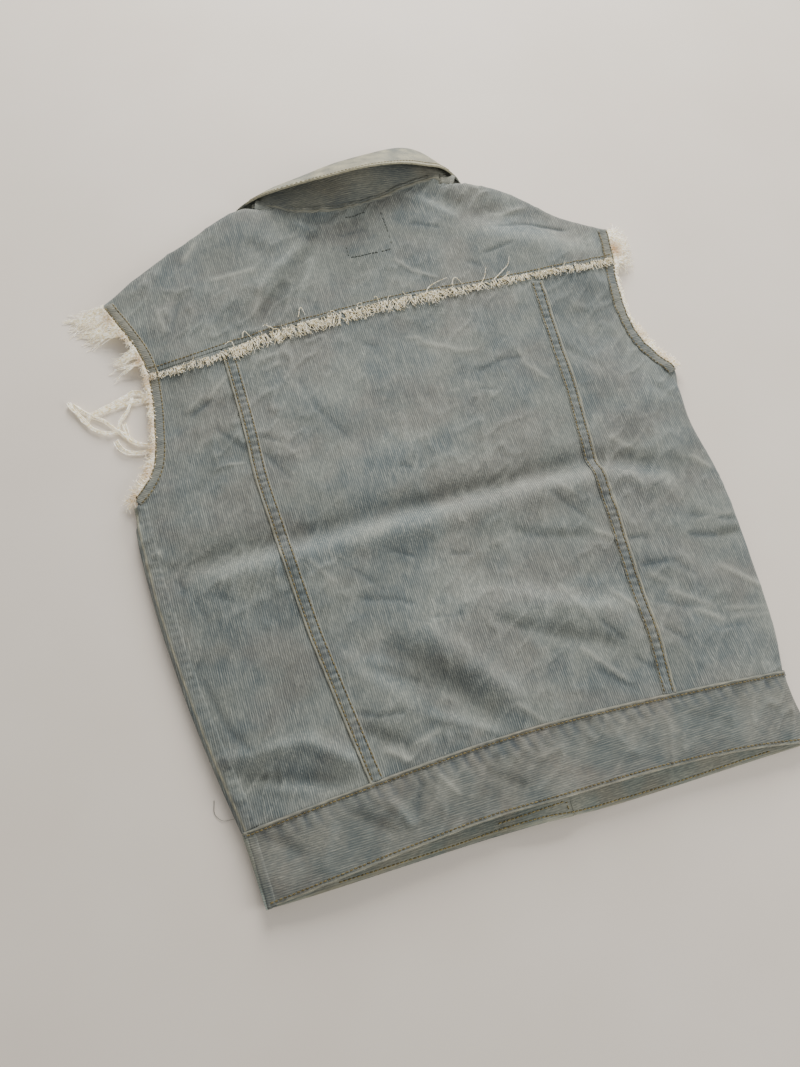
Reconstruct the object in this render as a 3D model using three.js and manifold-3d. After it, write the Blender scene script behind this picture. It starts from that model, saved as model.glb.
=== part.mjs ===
// Denim vest with raw cut armholes, laid flat on its front with its back up.
// Plan: X across as seen from above, Y towards the collar, Z up from the surface. Millimetres.
// The plan's own origin is the middle of the line between the underarms.

import * as THREE from 'three';
import Module from 'manifold-3d';
import { mergeVertices } from 'three/addons/utils/BufferGeometryUtils.js';

const wasm = await Module();
wasm.setup();

// Driving sizes
const CLOTH = 1.6; // one layer of denim with its seam allowances
const BAND = 2.2; // two layers: waistband and plackets
const COLLAR = 1.8; // two layers, pressed
const SEAM_STRIP = 1.0; // turned and stitched seam lying on a panel
const GAP = 0.3; // between neighbouring pieces
const PLACKET_WIDTH = 28;
const OUTER_PLACKET_X = 0; // middle of the placket that lies next to the surface
const INNER_PLACKET_X = 3; // middle of the placket that lies on it
const SEAM_WIDTH = 9;
const ARMHOLE_BAND_WIDTH = 8;
const FRONT_ARMHOLE_INSET = 3; // the front armhole is cut this much deeper
const BUTTON_RADIUS = 8.5;
const BUTTON_HEAD = 1.6;
const BUTTON_RIM = 0.5;
const BUTTON_SHANK_RADIUS = 3;
const BUTTON_SIDES = 10;
const BUTTON_HEIGHT = 2.5;
const BUTTON_COUNT = 6;
const BUTTON_TOP_Y = 150;
const BUTTON_SPACING = 88;
const OUTER_LIFT = BUTTON_HEIGHT + GAP; // the outer placket lies on the buttons
const INNER_LIFT = OUTER_LIFT + BAND + GAP; // the inner placket lies on the outer one
const LEAF_LIFT = 2.6; // the collar's front leaves lie under the top of the fronts
const STRIP_GAP = 0.7; // under a strip, which spans the slight hollows of a panel
const HIDDEN_GAP = 1; // between pieces at a seam that lies underneath or under a strip
const SHOULDER_GAP = 3; // the shoulder seam lies underneath, on a curved line
const EDGE_MARGIN = 6; // the back keeps its edge height this far in
const FOLD_STEPS = 5;
const SIDE_SEAM_WIDTH = 8;
const SEAM_OVERHANG = 0.4; // a felled seam's rim passes its panel's edge by this much
const ARMHOLE_BAND_INSET = 0.4; // and an armhole's band ends this far inside the edge
const SIDE_SEAM_TOP = -26; // where the side seam ends
const ARMHOLE_START = 4; // where the armhole begins
const PLACKET_TOP_Y = 167.5;
const NECK_MIDDLE = 10; // both necklines end this far from the middle, behind the plackets
const FRINGE_REACH = 12; // the seams beside the yoke's raw edge stop short of its threads

// Columns and rows of each wall
const GRIDS = {
  yoke: [26, 8], centreBack: [16, 26], sideLeft: [6, 22], sideRight: [5, 22], front: [10, 20],
  placket: [1, 6], bandBack: [26, 3], bandFront: [10, 2],
};
const PANEL_PASSES = 12; // a panel point settles between its four edges in this many passes
// Shares up a panel between which it passes the underarm, with a few close rows there
const UNDERARM_ROWS_BACK = { from: 0.62, to: 0.73, count: 6 };
const UNDERARM_ROWS_FRONT = { from: 0.52, to: 0.615, count: 6 };

// Outline in plan, a row for each place where it changes course
const LEFT_EDGE = [
  { y: -314, x: -210.5 }, { y: -262, x: -216 }, { y: -226, x: -223.5 }, { y: -171, x: -233 },
  { y: -137, x: -237.5 }, { y: -98, x: -242 }, { y: -30, x: -245 }, { y: -3, x: -241 },
  { y: 10, x: -232 }, { y: 20.6, x: -223.4 }, { y: 38, x: -217 }, { y: 59, x: -213.6 },
  { y: 101.5, x: -209.4 }, { y: 123, x: -210.6 }, { y: 142, x: -217 }, { y: 163, x: -225.5 },
  { y: 181.5, x: -234 },
];
const RIGHT_EDGE = [
  { y: -320, x: 212 }, { y: -264.5, x: 213 }, { y: -250, x: 217 }, { y: -220, x: 222.5 },
  { y: -180, x: 226 }, { y: -120, x: 230 }, { y: -80, x: 229 }, { y: -60, x: 225.5 },
  { y: -40, x: 224.7 }, { y: 3, x: 229.5 }, { y: 14.3, x: 223.4 }, { y: 25, x: 217 },
  { y: 37.7, x: 212 }, { y: 54.7, x: 209.4 }, { y: 71.7, x: 208.5 }, { y: 88.7, x: 210.6 },
  { y: 105.7, x: 212.8 }, { y: 118.5, x: 217 }, { y: 155, x: 221.3 },
];
const YOKE_TOP = [
  { x: -234, y: 181.5 }, { x: -198, y: 205.7 }, { x: -172, y: 220 }, { x: -151, y: 229 },
  { x: -138, y: 235.5 }, { x: -125.5, y: 245 }, { x: -113, y: 250.5 }, { x: -91.5, y: 253.4 },
  { x: -78.7, y: 250.4 }, { x: -68, y: 244 }, { x: -55, y: 235.5 }, { x: -36, y: 231 },
  { x: 0, y: 228.3 }, { x: 15, y: 230.4 }, { x: 36, y: 234.3 }, { x: 57, y: 239.4 },
  { x: 85, y: 243 }, { x: 101, y: 236.4 }, { x: 121, y: 228 }, { x: 138, y: 219.4 },
  { x: 153, y: 208 }, { x: 174.5, y: 184.5 }, { x: 189.4, y: 174.7 }, { x: 221.3, y: 156 },
];
const YOKE_SEAM = [
  { x: -209, y: 110.5 }, { x: -172, y: 112 }, { x: -130, y: 117 }, { x: -70, y: 122 },
  { x: 0, y: 126 }, { x: 40, y: 125.3 }, { x: 83, y: 123 }, { x: 168, y: 122.7 }, { x: 217, y: 124 },
];
const PRINCESS_LEFT = [
  { y: -255, x: -119.6 }, { y: -213, x: -125.5 }, { y: -179, x: -130 }, { y: -141, x: -135 },
  { y: -107, x: -138 }, { y: -43, x: -142.6 }, { y: -5, x: -145 }, { y: 33, x: -144.3 },
  { y: 118, x: -145.8 },
];
const PRINCESS_RIGHT = [
  { y: -256, x: 120.4 }, { y: -218, x: 124.7 }, { y: -184, x: 125.5 }, { y: -141, x: 127.7 },
  { y: -98, x: 130 }, { y: -43, x: 130.6 }, { y: -5, x: 135 }, { y: 46, x: 138.3 },
  { y: 80, x: 140.4 }, { y: 125, x: 143.2 },
];
const BACK_WAIST_SEAM = [
  { x: -216, y: -262 }, { x: -120, y: -255 }, { x: 0, y: -250.4 }, { x: 120, y: -256.4 },
  { x: 213, y: -264.5 },
];
const BACK_HEM = [
  { x: -210.5, y: -314 }, { x: -100, y: -305 }, { x: -40, y: -302 }, { x: 0, y: -303 },
  { x: 100, y: -305.7 }, { x: 160, y: -311 }, { x: 212, y: -320 },
];
const FRONT_WAIST_SEAM = [
  { x: -216, y: -262 }, { x: -100, y: -264 }, { x: 0, y: -265 }, { x: 100, y: -267 },
  { x: 213, y: -264.5 },
];
const FRONT_HEM = [
  { x: -210.5, y: -314 }, { x: -190, y: -315.5 }, { x: 0, y: -315.5 }, { x: 20, y: -318 },
  { x: 60, y: -320 }, { x: 212, y: -320 },
];
const FRONT_NECK_LEFT = [
  { x: -100, y: 246 }, { x: -94, y: 242 }, { x: -89, y: 229 }, { x: -82, y: 208 },
  { x: -66, y: 190 }, { x: -45, y: 177 }, { x: -10, y: 168 },
];
const FRONT_NECK_RIGHT = [
  { x: 10, y: 168 }, { x: 45, y: 175 }, { x: 70, y: 188 }, { x: 86, y: 205 },
  { x: 95, y: 221 }, { x: 101, y: 228.5 },
];

// Height of the back's mid surface at its edges and along its middle
const BACK_HEIGHT = [
  { y: -320, edge: 9.2, middle: 17 }, { y: -300, edge: 9.2, middle: 16.5 },
  { y: -256, edge: 9.2, middle: 14.5 }, { y: -150, edge: 9, middle: 15 },
  { y: -50, edge: 9, middle: 15.5 }, { y: 0, edge: 8.5, middle: 14.5 },
  { y: 35, edge: 7, middle: 14 }, { y: 100, edge: 7, middle: 13.5 },
  { y: 160, edge: 9.5, middle: 13.5 }, { y: 200, edge: 11.4, middle: 13.2 },
  { y: 255, edge: 11.4, middle: 12.6 },
];

// Main creases of the back: a line from one place to another, half width and rise
const CREASES = [
  { x1: -215, y1: -58, x2: 120, y2: -56, width: 9, rise: -2.2 },
  { x1: 120, y1: -56, x2: 190, y2: -84, width: 9, rise: -2 },
  { x1: -215, y1: -78, x2: 130, y2: -76, width: 10, rise: 2.2 },
  { x1: 130, y1: -76, x2: 195, y2: -104, width: 10, rise: 1.8 },
  { x1: -60, y1: 224, x2: -128, y2: 152, width: 10, rise: 1.8 },
  { x1: -46, y1: 212, x2: -108, y2: 142, width: 9, rise: -2.2 },
  { x1: -32, y1: 198, x2: -82, y2: 134, width: 10, rise: 1.6 },
  { x1: -20, y1: 180, x2: 60, y2: 200, width: 16, rise: 1.4 },
  { x1: 75, y1: 218, x2: 135, y2: 186, width: 14, rise: -2.4 },
  { x1: 135, y1: 186, x2: 200, y2: 148, width: 12, rise: -1.8 },
  { x1: 60, y1: 194, x2: 120, y2: 160, width: 13, rise: 1.8 },
  { x1: 120, y1: 160, x2: 196, y2: 134, width: 11, rise: 1.6 },
  { x1: 140, y1: 78, x2: 200, y2: 40, width: 14, rise: -1.8 },
  { x1: 132, y1: 32, x2: 205, y2: -24, width: 14, rise: 2.2 },
  { x1: 128, y1: -148, x2: 214, y2: -204, width: 9, rise: 1.4 },
  { x1: 134, y1: -166, x2: 212, y2: -222, width: 9, rise: -1.4 },
  { x1: -20, y1: -122, x2: 118, y2: -164, width: 11, rise: -1.4 },
  { x1: -32, y1: -142, x2: 122, y2: -194, width: 12, rise: 2 },
  { x1: -76, y1: -140, x2: 28, y2: -238, width: 13, rise: 2.2 },
  { x1: -102, y1: -168, x2: -6, y2: -244, width: 12, rise: -2.4 },
  { x1: -118, y1: -188, x2: -42, y2: -246, width: 10, rise: 1.8 },
  { x1: -226, y1: -188, x2: -130, y2: -230, width: 13, rise: 2.4 },
  { x1: -222, y1: -232, x2: -126, y2: -250, width: 10, rise: -1.8 },
];

// Collar, a row for each section along the neck: where it leaves the neck seam, where it
// folds and its free edge. The first and last three rows are the leaves under the fronts.
const COLLAR_SECTIONS = [
  { nx: -15, ny: 170.5, nz: 3.9, fx: -11, fy: 176, fz: 1, ex: -48, ey: 106, ez: 1 },
  { nx: -44, ny: 179.5, nz: 3.7, fx: -39.5, fy: 185, fz: 1, ex: -84, ey: 128, ez: 1 },
  { nx: -64, ny: 191, nz: 3.7, fx: -58.5, fy: 195.5, fz: 1, ex: -107, ey: 152, ez: 1 },
  { nx: -77.5, ny: 209.5, nz: 3.7, fx: -71.5, fy: 211.5, fz: 1, ex: -121, ey: 184, ez: 1 },
  { nx: -84.5, ny: 231, nz: 3.7, fx: -78, fy: 233.5, fz: 1, ex: -122, ey: 222, ez: 1 },
  { nx: -86, ny: 247, nz: 4.2, fx: -79, fy: 254, fz: 1.2, ex: -108, ey: 247, ez: 0.92 },
  { nx: -84.5, ny: 254.6, nz: 6.4, fx: -79, fy: 263, fz: 3, ex: -103, ey: 258.5, ez: 0.95 },
  { nx: -81, ny: 255.2, nz: 9.4, fx: -76, fy: 266.5, fz: 7, ex: -91, ey: 258, ez: 9 },
  { nx: -76, ny: 253.6, nz: 11.3, fx: -71, fy: 267.5, fz: 9, ex: -79, ey: 256.5, ez: 16.5 },
  { nx: -66, ny: 245.5, nz: 12, fx: -62, fy: 270, fz: 10, ex: -66, ey: 251.5, ez: 25 },
  { nx: -40, ny: 233.6, nz: 12.4, fx: -40, fy: 268.5, fz: 16.6, ex: -40, ey: 243.8, ez: 38.4 },
  { nx: -18, ny: 231, nz: 12.6, fx: -20, fy: 269, fz: 22.5, ex: -20, ey: 240, ez: 44 },
  { nx: 0, ny: 230, nz: 12.8, fx: 0, fy: 268, fz: 28, ex: 0, ey: 237.5, ez: 49.5 },
  { nx: 20, ny: 233, nz: 12.8, fx: 20, fy: 270.5, fz: 27, ex: 20, ey: 240.9, ez: 46 },
  { nx: 40, ny: 237, nz: 12.6, fx: 40, fy: 275.5, fz: 24, ex: 40, ey: 243.7, ez: 41 },
  { nx: 60, ny: 241.8, nz: 12.2, fx: 60, fy: 278, fz: 21, ex: 60, ey: 247.1, ez: 32.4 },
  { nx: 74, ny: 244.2, nz: 11.6, fx: 75, fy: 276, fz: 15.5, ex: 76, ey: 247.3, ez: 25 },
  { nx: 83, ny: 245.2, nz: 11, fx: 87, fy: 267, fz: 10, ex: 89, ey: 250, ez: 18 },
  { nx: 90.5, ny: 244.8, nz: 8.6, fx: 95, fy: 257, fz: 6.2, ex: 101, ey: 246, ez: 10.5 },
  { nx: 97, ny: 241.6, nz: 5.8, fx: 97, fy: 251, fz: 3.6, ex: 108, ey: 239, ez: 1.6 },
  { nx: 93.8, ny: 229.8, nz: 3.9, fx: 87.8, fy: 236, fz: 1.6, ex: 117, ey: 228, ez: 0.95 },
  { nx: 91.5, ny: 224, nz: 3.7, fx: 85, fy: 228, fz: 1, ex: 124, ey: 212, ez: 1 },
  { nx: 84, ny: 207.5, nz: 3.7, fx: 78, fy: 211.5, fz: 1, ex: 122, ey: 180, ez: 1 },
  { nx: 67.5, ny: 190.5, nz: 3.7, fx: 62.5, fy: 196, fz: 1, ex: 108, ey: 150, ez: 1 },
  { nx: 44, ny: 178, nz: 3.7, fx: 39.5, fy: 183.5, fz: 1, ex: 84, ey: 126, ez: 1 },
  { nx: 15, ny: 170.5, nz: 3.9, fx: 11, fy: 176, fz: 1, ex: 48, ey: 106, ez: 1 },
];
const COLLAR_FOLD_RADIUS = 1.25;
const COLLAR_STEPS = 34; // walls between the rows that are made along the collar
const COLLAR_ARC_STEPS = 3;
const COLLAR_LEAVES = { from: 78, to: 100 }; // the fronts rise over the leaves between these y
const PLACKET_SLOPE = { from: 18, to: 60 }; // and from the plackets down to the table, in x

// How the back falls to its sides and shoulders
const SHOULDERS = { leftNeck: -82, left: -100, rightNeck: 84, right: 101 };
const SIDE_FULLNESS = 6; // the power of the curve across: higher is flatter on top
const SHOULDER_SLOPE = 60; // length of the slope below the shoulder's fold
const LOW_SIDE = 0.12; // creases end where the back is this low, as a share of its height

// Fringe: threads rooted along a stretch of an edge, their length and the way they point
const LEFT_FRINGE = [
  { from: 146, to: 178, count: 13, shortest: 20, longest: 30, heading: 176, fan: -14 },
  { from: 117, to: 138, count: 8, shortest: 14, longest: 25, heading: 184, fan: -12 },
  { from: 97, to: 115, count: 6, shortest: 5, longest: 9, heading: 182, fan: -5 },
  { from: 46, to: 94, count: 12, shortest: 12, longest: 56, heading: 174, fan: -12 },
  { from: 21, to: 44, count: 8, shortest: 5, longest: 9, heading: 190, fan: -5 },
  { from: 2, to: 19, count: 7, shortest: 9, longest: 15, heading: 212, fan: -14 },
];
const RIGHT_FRINGE = [
  { from: 119, to: 150, count: 12, shortest: 14, longest: 24, heading: -22, fan: 22 },
  { from: 52, to: 116, count: 14, shortest: 3.5, longest: 6, heading: 0, fan: 6 },
  { from: 8, to: 49, count: 13, shortest: 8, longest: 14, heading: 8, fan: 20 },
];
const YOKE_FRINGE = {
  from: -198, to: 204, count: 64, shortest: 6.5, longest: 10, fan: 16, stripNear: 0.8, stripFar: 2.8,
  stripOver: 1.5, stripSteps: 40,
};
const SEEDS = { left: 3, right: 5, yoke: 7 };
const THREAD_WIDTH = 1.1;
const THREAD_SIDES = 3;
const THREAD_TAPER = 0.45; // how much thinner the tip is
const THREAD_ARCH = 0.3; // a thread on the yoke's seam rises this much in its middle
const ROOT_STRIP = 1.4; // width and depth of the strip that holds the roots
const FRINGE_FALL = 26; // a thread this long reaches down to the surface
const FLOOR_CLEARANCE = 0.5;

const COLOURS = {
  denim: 0x8f9c9a, worn: 0x9aa5a1, collar: 0x8b9794, fringe: 0xd9ceb8, button: 0x8a7556,
};

const clamp = (value, low, high) => Math.min(high, Math.max(low, value));
const mix = (a, b, t) => a + (b - a) * t;

function smoothstep(low, high, value) {
  const t = clamp((value - low) / (high - low), 0, 1);
  return t * t * (3 - 2 * t);
}

// The value of a table's column at a key, on a smooth curve through its rows
function lookUp(rows, key, column, at) {
  const last = rows.length - 1;
  const place = clamp(at, rows[0][key], rows[last][key]);
  let i = 0;
  while (i < last - 1 && place > rows[i + 1][key]) i += 1;
  const slope = (a, b) => (rows[b][column] - rows[a][column]) / (rows[b][key] - rows[a][key]);
  const span = rows[i + 1][key] - rows[i][key];
  const t = (place - rows[i][key]) / span;
  const m0 = slope(Math.max(i - 1, 0), i + 1) * span;
  const m1 = slope(i, Math.min(i + 2, last)) * span;
  const t2 = t * t;
  const t3 = t2 * t;
  return (2 * t3 - 3 * t2 + 1) * rows[i][column] + (t3 - 2 * t2 + t) * m0
    + (3 * t2 - 2 * t3) * rows[i + 1][column] + (t3 - t2) * m1;
}

const leftEdge = (y) => lookUp(LEFT_EDGE, 'y', 'x', y);
const rightEdge = (y) => lookUp(RIGHT_EDGE, 'y', 'x', y);
const yokeTop = (x) => lookUp(YOKE_TOP, 'x', 'y', x);
const yokeSeam = (x) => lookUp(YOKE_SEAM, 'x', 'y', x);
const backWaist = (x) => lookUp(BACK_WAIST_SEAM, 'x', 'y', x);
const frontWaist = (x) => lookUp(FRONT_WAIST_SEAM, 'x', 'y', x);

function creaseHeight(x, y) {
  let height = 0;
  for (const c of CREASES) {
    const dx = c.x2 - c.x1;
    const dy = c.y2 - c.y1;
    const t = ((x - c.x1) * dx + (y - c.y1) * dy) / (dx * dx + dy * dy);
    const near = clamp(t, 0, 1);
    const distance = Math.hypot(x - c.x1 - near * dx, y - c.y1 - near * dy) / c.width;
    const fade = smoothstep(-0.12, 0.15, t) * smoothstep(1.12, 0.85, t);
    height += c.rise * fade * Math.exp(-distance * distance);
  }
  return height;
}

// How much of the shoulder's fold there is at this place across the top: 1 on the
// shoulders and 0 along the neck
function shoulderShare(x) {
  return x < 0 ? smoothstep(SHOULDERS.leftNeck, SHOULDERS.left, x)
    : smoothstep(SHOULDERS.rightNeck, SHOULDERS.right, x);
}

function backHeight(x, y) {
  const edge = lookUp(BACK_HEIGHT, 'y', 'edge', y);
  const middle = lookUp(BACK_HEIGHT, 'y', 'middle', y);
  const left = leftEdge(y) + EDGE_MARGIN;
  const right = rightEdge(y) - EDGE_MARGIN;
  const across = clamp((x - left) / (right - left), 0, 1);
  const fromSides = 1 - Math.abs(2 * across - 1) ** SIDE_FULLNESS;
  const belowTop = yokeTop(x) - EDGE_MARGIN - y;
  const fromTop = 1 - shoulderShare(x) * (1 - smoothstep(0, SHOULDER_SLOPE, belowTop));
  const crown = fromSides * fromTop;
  const lowSide = smoothstep(0, LOW_SIDE, crown);
  return mix(edge, middle, crown) + creaseHeight(x, y) * lowSide;
}

// Mid height of the front layer; lift is the height that its placket is raised to
function frontHeight(x, y, lift, wall) {
  const leaf = LEAF_LIFT * smoothstep(COLLAR_LEAVES.from, COLLAR_LEAVES.to, y);
  const placket = lift * (1 - smoothstep(PLACKET_SLOPE.from, PLACKET_SLOPE.to, Math.abs(x)));
  return wall / 2 + Math.max(leaf, placket);
}

// A closed cloth wall through a grid of mid points, offset half its thickness each way
function clothWall(grid, thickness) {
  const rows = grid.length;
  const columns = grid[0].length;
  const positions = [];
  for (const side of [1, -1]) {
    for (let j = 0; j < rows; j += 1) {
      for (let i = 0; i < columns; i += 1) {
        const along = grid[j][Math.min(i + 1, columns - 1)].clone()
          .sub(grid[j][Math.max(i - 1, 0)]);
        const up = grid[Math.min(j + 1, rows - 1)][i].clone().sub(grid[Math.max(j - 1, 0)][i]);
        const normal = along.cross(up).normalize();
        const p = grid[j][i].clone().addScaledVector(normal, side * thickness / 2);
        positions.push(p.x, p.y, Math.max(p.z, 0));
      }
    }
  }
  const top = (j, i) => j * columns + i;
  const under = (j, i) => rows * columns + j * columns + i;
  const faces = [];
  const quad = (a, b, c, d) => faces.push(a, b, c, a, c, d);
  for (let j = 0; j < rows - 1; j += 1) {
    for (let i = 0; i < columns - 1; i += 1) {
      quad(top(j, i), top(j, i + 1), top(j + 1, i + 1), top(j + 1, i));
      quad(under(j, i), under(j + 1, i), under(j + 1, i + 1), under(j, i + 1));
    }
    quad(top(j, 0), top(j + 1, 0), under(j + 1, 0), under(j, 0));
    const e = columns - 1;
    quad(top(j, e), under(j, e), under(j + 1, e), top(j + 1, e));
  }
  for (let i = 0; i < columns - 1; i += 1) {
    quad(top(0, i), under(0, i), under(0, i + 1), top(0, i + 1));
    const e = rows - 1;
    quad(top(e, i), top(e, i + 1), under(e, i + 1), under(e, i));
  }
  const geometry = new THREE.BufferGeometry();
  geometry.setAttribute('position', new THREE.Float32BufferAttribute(positions, 3));
  geometry.setIndex(faces);
  geometry.computeVertexNormals();
  return geometry;
}

// The plan point a share u across and v up a panel that lies between four edges
function panelPoint(panel, u, v) {
  let x = mix(panel.left(0), panel.right(0), u);
  let y = 0;
  for (let pass = 0; pass < PANEL_PASSES; pass += 1) {
    y = mix(panel.bottom(x), panel.top(x), v);
    x = mix(panel.left(y), panel.right(y), u);
  }
  return { x, y };
}

// Even shares from 0 to 1 for a panel's rows, closer together over a stretch of it
function rowShares(rows, close) {
  const even = Array.from({ length: rows + 1 }, (_, j) => j / rows);
  if (!close) return even;
  const { from, to, count } = close;
  const more = Array.from({ length: count }, (_, k) => mix(from, to, k / (count - 1)));
  const nearest = 0.3 / rows;
  const apart = (v) => v < from - nearest || v > to + nearest;
  return [...even.filter(apart), ...more].sort((a, b) => a - b);
}

function panelGrid(panel, [columns, rows]) {
  return rowShares(rows, panel.closeRows).map((v) => {
    const row = [];
    for (let i = 0; i <= columns; i += 1) {
      const { x, y } = panelPoint(panel, i / columns, v);
      row.push(new THREE.Vector3(x, y, panel.height(x, y)));
    }
    return row;
  });
}

// The cloth turns over a fold of half the depth between the back and the front. share is
// 1 where it turns right over and 0 where it ends flat, as at an armhole.
function foldRadius(x, y, wall, lift = 0) {
  return (backHeight(x, y) - frontHeight(x, y, lift, wall)) / 2;
}

function foldInset(share, radius, wall) {
  const turn = Math.PI * share;
  const length = Math.PI * radius;
  if (turn < 0.01) return length;
  const reach = (turn > Math.PI / 2 ? 1 : Math.sin(turn)) * length / turn;
  return reach + wall / 2 * Math.min(1, share * 2);
}

function foldPoints(base, outwards, share, radius, direction) {
  const turn = Math.max(Math.PI * share, 0.001);
  const bend = Math.PI * radius / turn;
  const points = [];
  for (let k = 1; k <= FOLD_STEPS; k += 1) {
    const angle = turn * k / FOLD_STEPS;
    const out = Math.sin(angle) * bend;
    const along = direction * (1 - Math.cos(angle)) * bend;
    points.push(new THREE.Vector3(
      base.x + outwards.x * out, base.y + outwards.y * out, base.z + along,
    ));
  }
  return points;
}

// Where the side seam ends and the armhole begins
const sideShare = (y) => 1 - smoothstep(SIDE_SEAM_TOP, ARMHOLE_START, y);

function sideInset(edge, y, wall) {
  const share = sideShare(y);
  return foldInset(share, foldRadius(edge(y), y, wall), wall);
}

// Places each row's fold points on the outer side of a grid
function addSideFold(grid, side, direction, wall) {
  const edge = side < 0 ? leftEdge : rightEdge;
  for (const row of grid) {
    const base = side < 0 ? row[0] : row[row.length - 1];
    const radius = foldRadius(edge(base.y), base.y, wall);
    const share = sideShare(base.y);
    const next = side < 0 ? row[1] : row[row.length - 2];
    const flat = base.clone().sub(next).setZ(0).normalize();
    const outwards = flat.lerp(new THREE.Vector3(side, 0, 0), share).normalize();
    const fold = foldPoints(base, outwards, share, radius, direction);
    if (side < 0) row.unshift(...fold.reverse());
    else row.push(...fold);
  }
}

function topNormal(x) {
  const slope = (yokeTop(x + 1) - yokeTop(x - 1)) / 2;
  const length = Math.hypot(slope, 1);
  return { x: -slope / length, y: 1 / length };
}

// How far below the yoke's top outline its fold begins
function topInset(x) {
  const radius = foldRadius(x, yokeTop(x), CLOTH);
  return foldInset(shoulderShare(x), radius, CLOTH) / topNormal(x).y;
}

function backYokeGrid() {
  const panel = {
    left: leftEdge,
    right: rightEdge,
    bottom: (x) => yokeSeam(x) + GAP / 2,
    top: (x) => yokeTop(x) - topInset(x),
    height: backHeight,
  };
  const grid = panelGrid(panel, GRIDS.yoke);
  const topRow = grid[grid.length - 1];
  const folds = topRow.map((base) => {
    const radius = foldRadius(base.x, yokeTop(base.x), CLOTH);
    return foldPoints(base, topNormal(base.x), shoulderShare(base.x), radius, -1);
  });
  for (let k = 0; k < FOLD_STEPS; k += 1) grid.push(folds.map((fold) => fold[k]));
  return grid;
}

const panelTop = (x) => yokeSeam(x) - GAP / 2;
const panelBottom = (x) => backWaist(x) + GAP / 2;
const princessLeft = (y) => lookUp(PRINCESS_LEFT, 'y', 'x', y);
const princessRight = (y) => lookUp(PRINCESS_RIGHT, 'y', 'x', y);

function centreBackGrid() {
  const panel = {
    left: (y) => princessLeft(y) + GAP / 2,
    right: (y) => princessRight(y) - GAP / 2,
    bottom: panelBottom,
    top: panelTop,
    height: backHeight,
  };
  return panelGrid(panel, GRIDS.centreBack);
}

// The left side seam lies on top, so this panel ends at it
function sideBackLeftGrid() {
  const panel = {
    left: (y) => leftEdge(y) + (sideInset(leftEdge, y, CLOTH) + HIDDEN_GAP) * sideShare(y),
    right: (y) => princessLeft(y) - GAP / 2,
    bottom: panelBottom,
    top: panelTop,
    height: backHeight,
    closeRows: UNDERARM_ROWS_BACK,
  };
  return panelGrid(panel, GRIDS.sideLeft);
}

// The right side seam lies underneath, so this panel turns over the fold
function sideBackRightGrid() {
  const panel = {
    left: (y) => princessRight(y) + GAP / 2,
    right: (y) => rightEdge(y) - sideInset(rightEdge, y, CLOTH),
    bottom: panelBottom,
    top: panelTop,
    height: backHeight,
    closeRows: UNDERARM_ROWS_BACK,
  };
  const grid = panelGrid(panel, GRIDS.sideRight);
  addSideFold(grid, 1, -1, CLOTH);
  return grid;
}

// The front ends where the yoke comes round the shoulder's fold, and along its own neckline
function frontTop(neckline, yokeEnd, x) {
  const first = neckline[0];
  const last = neckline[neckline.length - 1];
  if (x >= first.x && x <= last.x) return lookUp(neckline, 'x', 'y', x);
  const passed = yokeEnd.filter((point) => point.x <= x).length;
  const k = clamp(passed, 1, yokeEnd.length - 1);
  const low = yokeEnd[k - 1];
  const high = yokeEnd[k];
  return mix(low.y, high.y, (x - low.x) / (high.x - low.x)) - SHOULDER_GAP;
}

function frontLeft(yokeEnd) {
  const panel = {
    left: (y) => leftEdge(y) + sideInset(leftEdge, y, CLOTH)
      + FRONT_ARMHOLE_INSET * (1 - sideShare(y)),
    right: () => INNER_PLACKET_X - PLACKET_WIDTH / 2 - GAP,
    bottom: (x) => frontWaist(x) + GAP / 2,
    top: (x) => frontTop(FRONT_NECK_LEFT, yokeEnd, Math.min(x, -NECK_MIDDLE)),
    height: (x, y) => frontHeight(x, y, INNER_LIFT, CLOTH),
    closeRows: UNDERARM_ROWS_FRONT,
  };
  const grid = panelGrid(panel, GRIDS.front);
  addSideFold(grid, -1, 1, CLOTH);
  return clothWall(grid, CLOTH);
}

function frontRight(yokeEnd) {
  const panel = {
    left: () => OUTER_PLACKET_X + PLACKET_WIDTH / 2 + GAP,
    right: (y) => rightEdge(y) - (sideInset(rightEdge, y, CLOTH) + HIDDEN_GAP) * sideShare(y)
      - FRONT_ARMHOLE_INSET * (1 - sideShare(y)),
    bottom: (x) => frontWaist(x) + GAP / 2,
    top: (x) => frontTop(FRONT_NECK_RIGHT, yokeEnd, Math.max(x, NECK_MIDDLE)),
    height: (x, y) => frontHeight(x, y, OUTER_LIFT, CLOTH),
    closeRows: UNDERARM_ROWS_FRONT,
  };
  return clothWall(panelGrid(panel, GRIDS.front), CLOTH);
}

function placket(middle, lift) {
  const panel = {
    left: () => middle - PLACKET_WIDTH / 2,
    right: () => middle + PLACKET_WIDTH / 2,
    bottom: (x) => frontWaist(x) + GAP / 2,
    top: () => PLACKET_TOP_Y,
    height: () => lift + BAND / 2,
  };
  return clothWall(panelGrid(panel, GRIDS.placket), BAND);
}

// Both ends of a waistband turn or meet a turn at the side folds
function bandInset(edge, y) {
  return foldInset(1, foldRadius(edge(y), y, BAND), BAND);
}

function waistbandBack() {
  const panel = {
    left: (y) => leftEdge(y) + bandInset(leftEdge, y) + HIDDEN_GAP,
    right: (y) => rightEdge(y) - bandInset(rightEdge, y),
    bottom: (x) => lookUp(BACK_HEM, 'x', 'y', x),
    top: (x) => backWaist(x) - GAP / 2,
    height: backHeight,
  };
  const grid = panelGrid(panel, GRIDS.bandBack);
  addSideFold(grid, 1, -1, BAND);
  return clothWall(grid, BAND);
}

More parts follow.
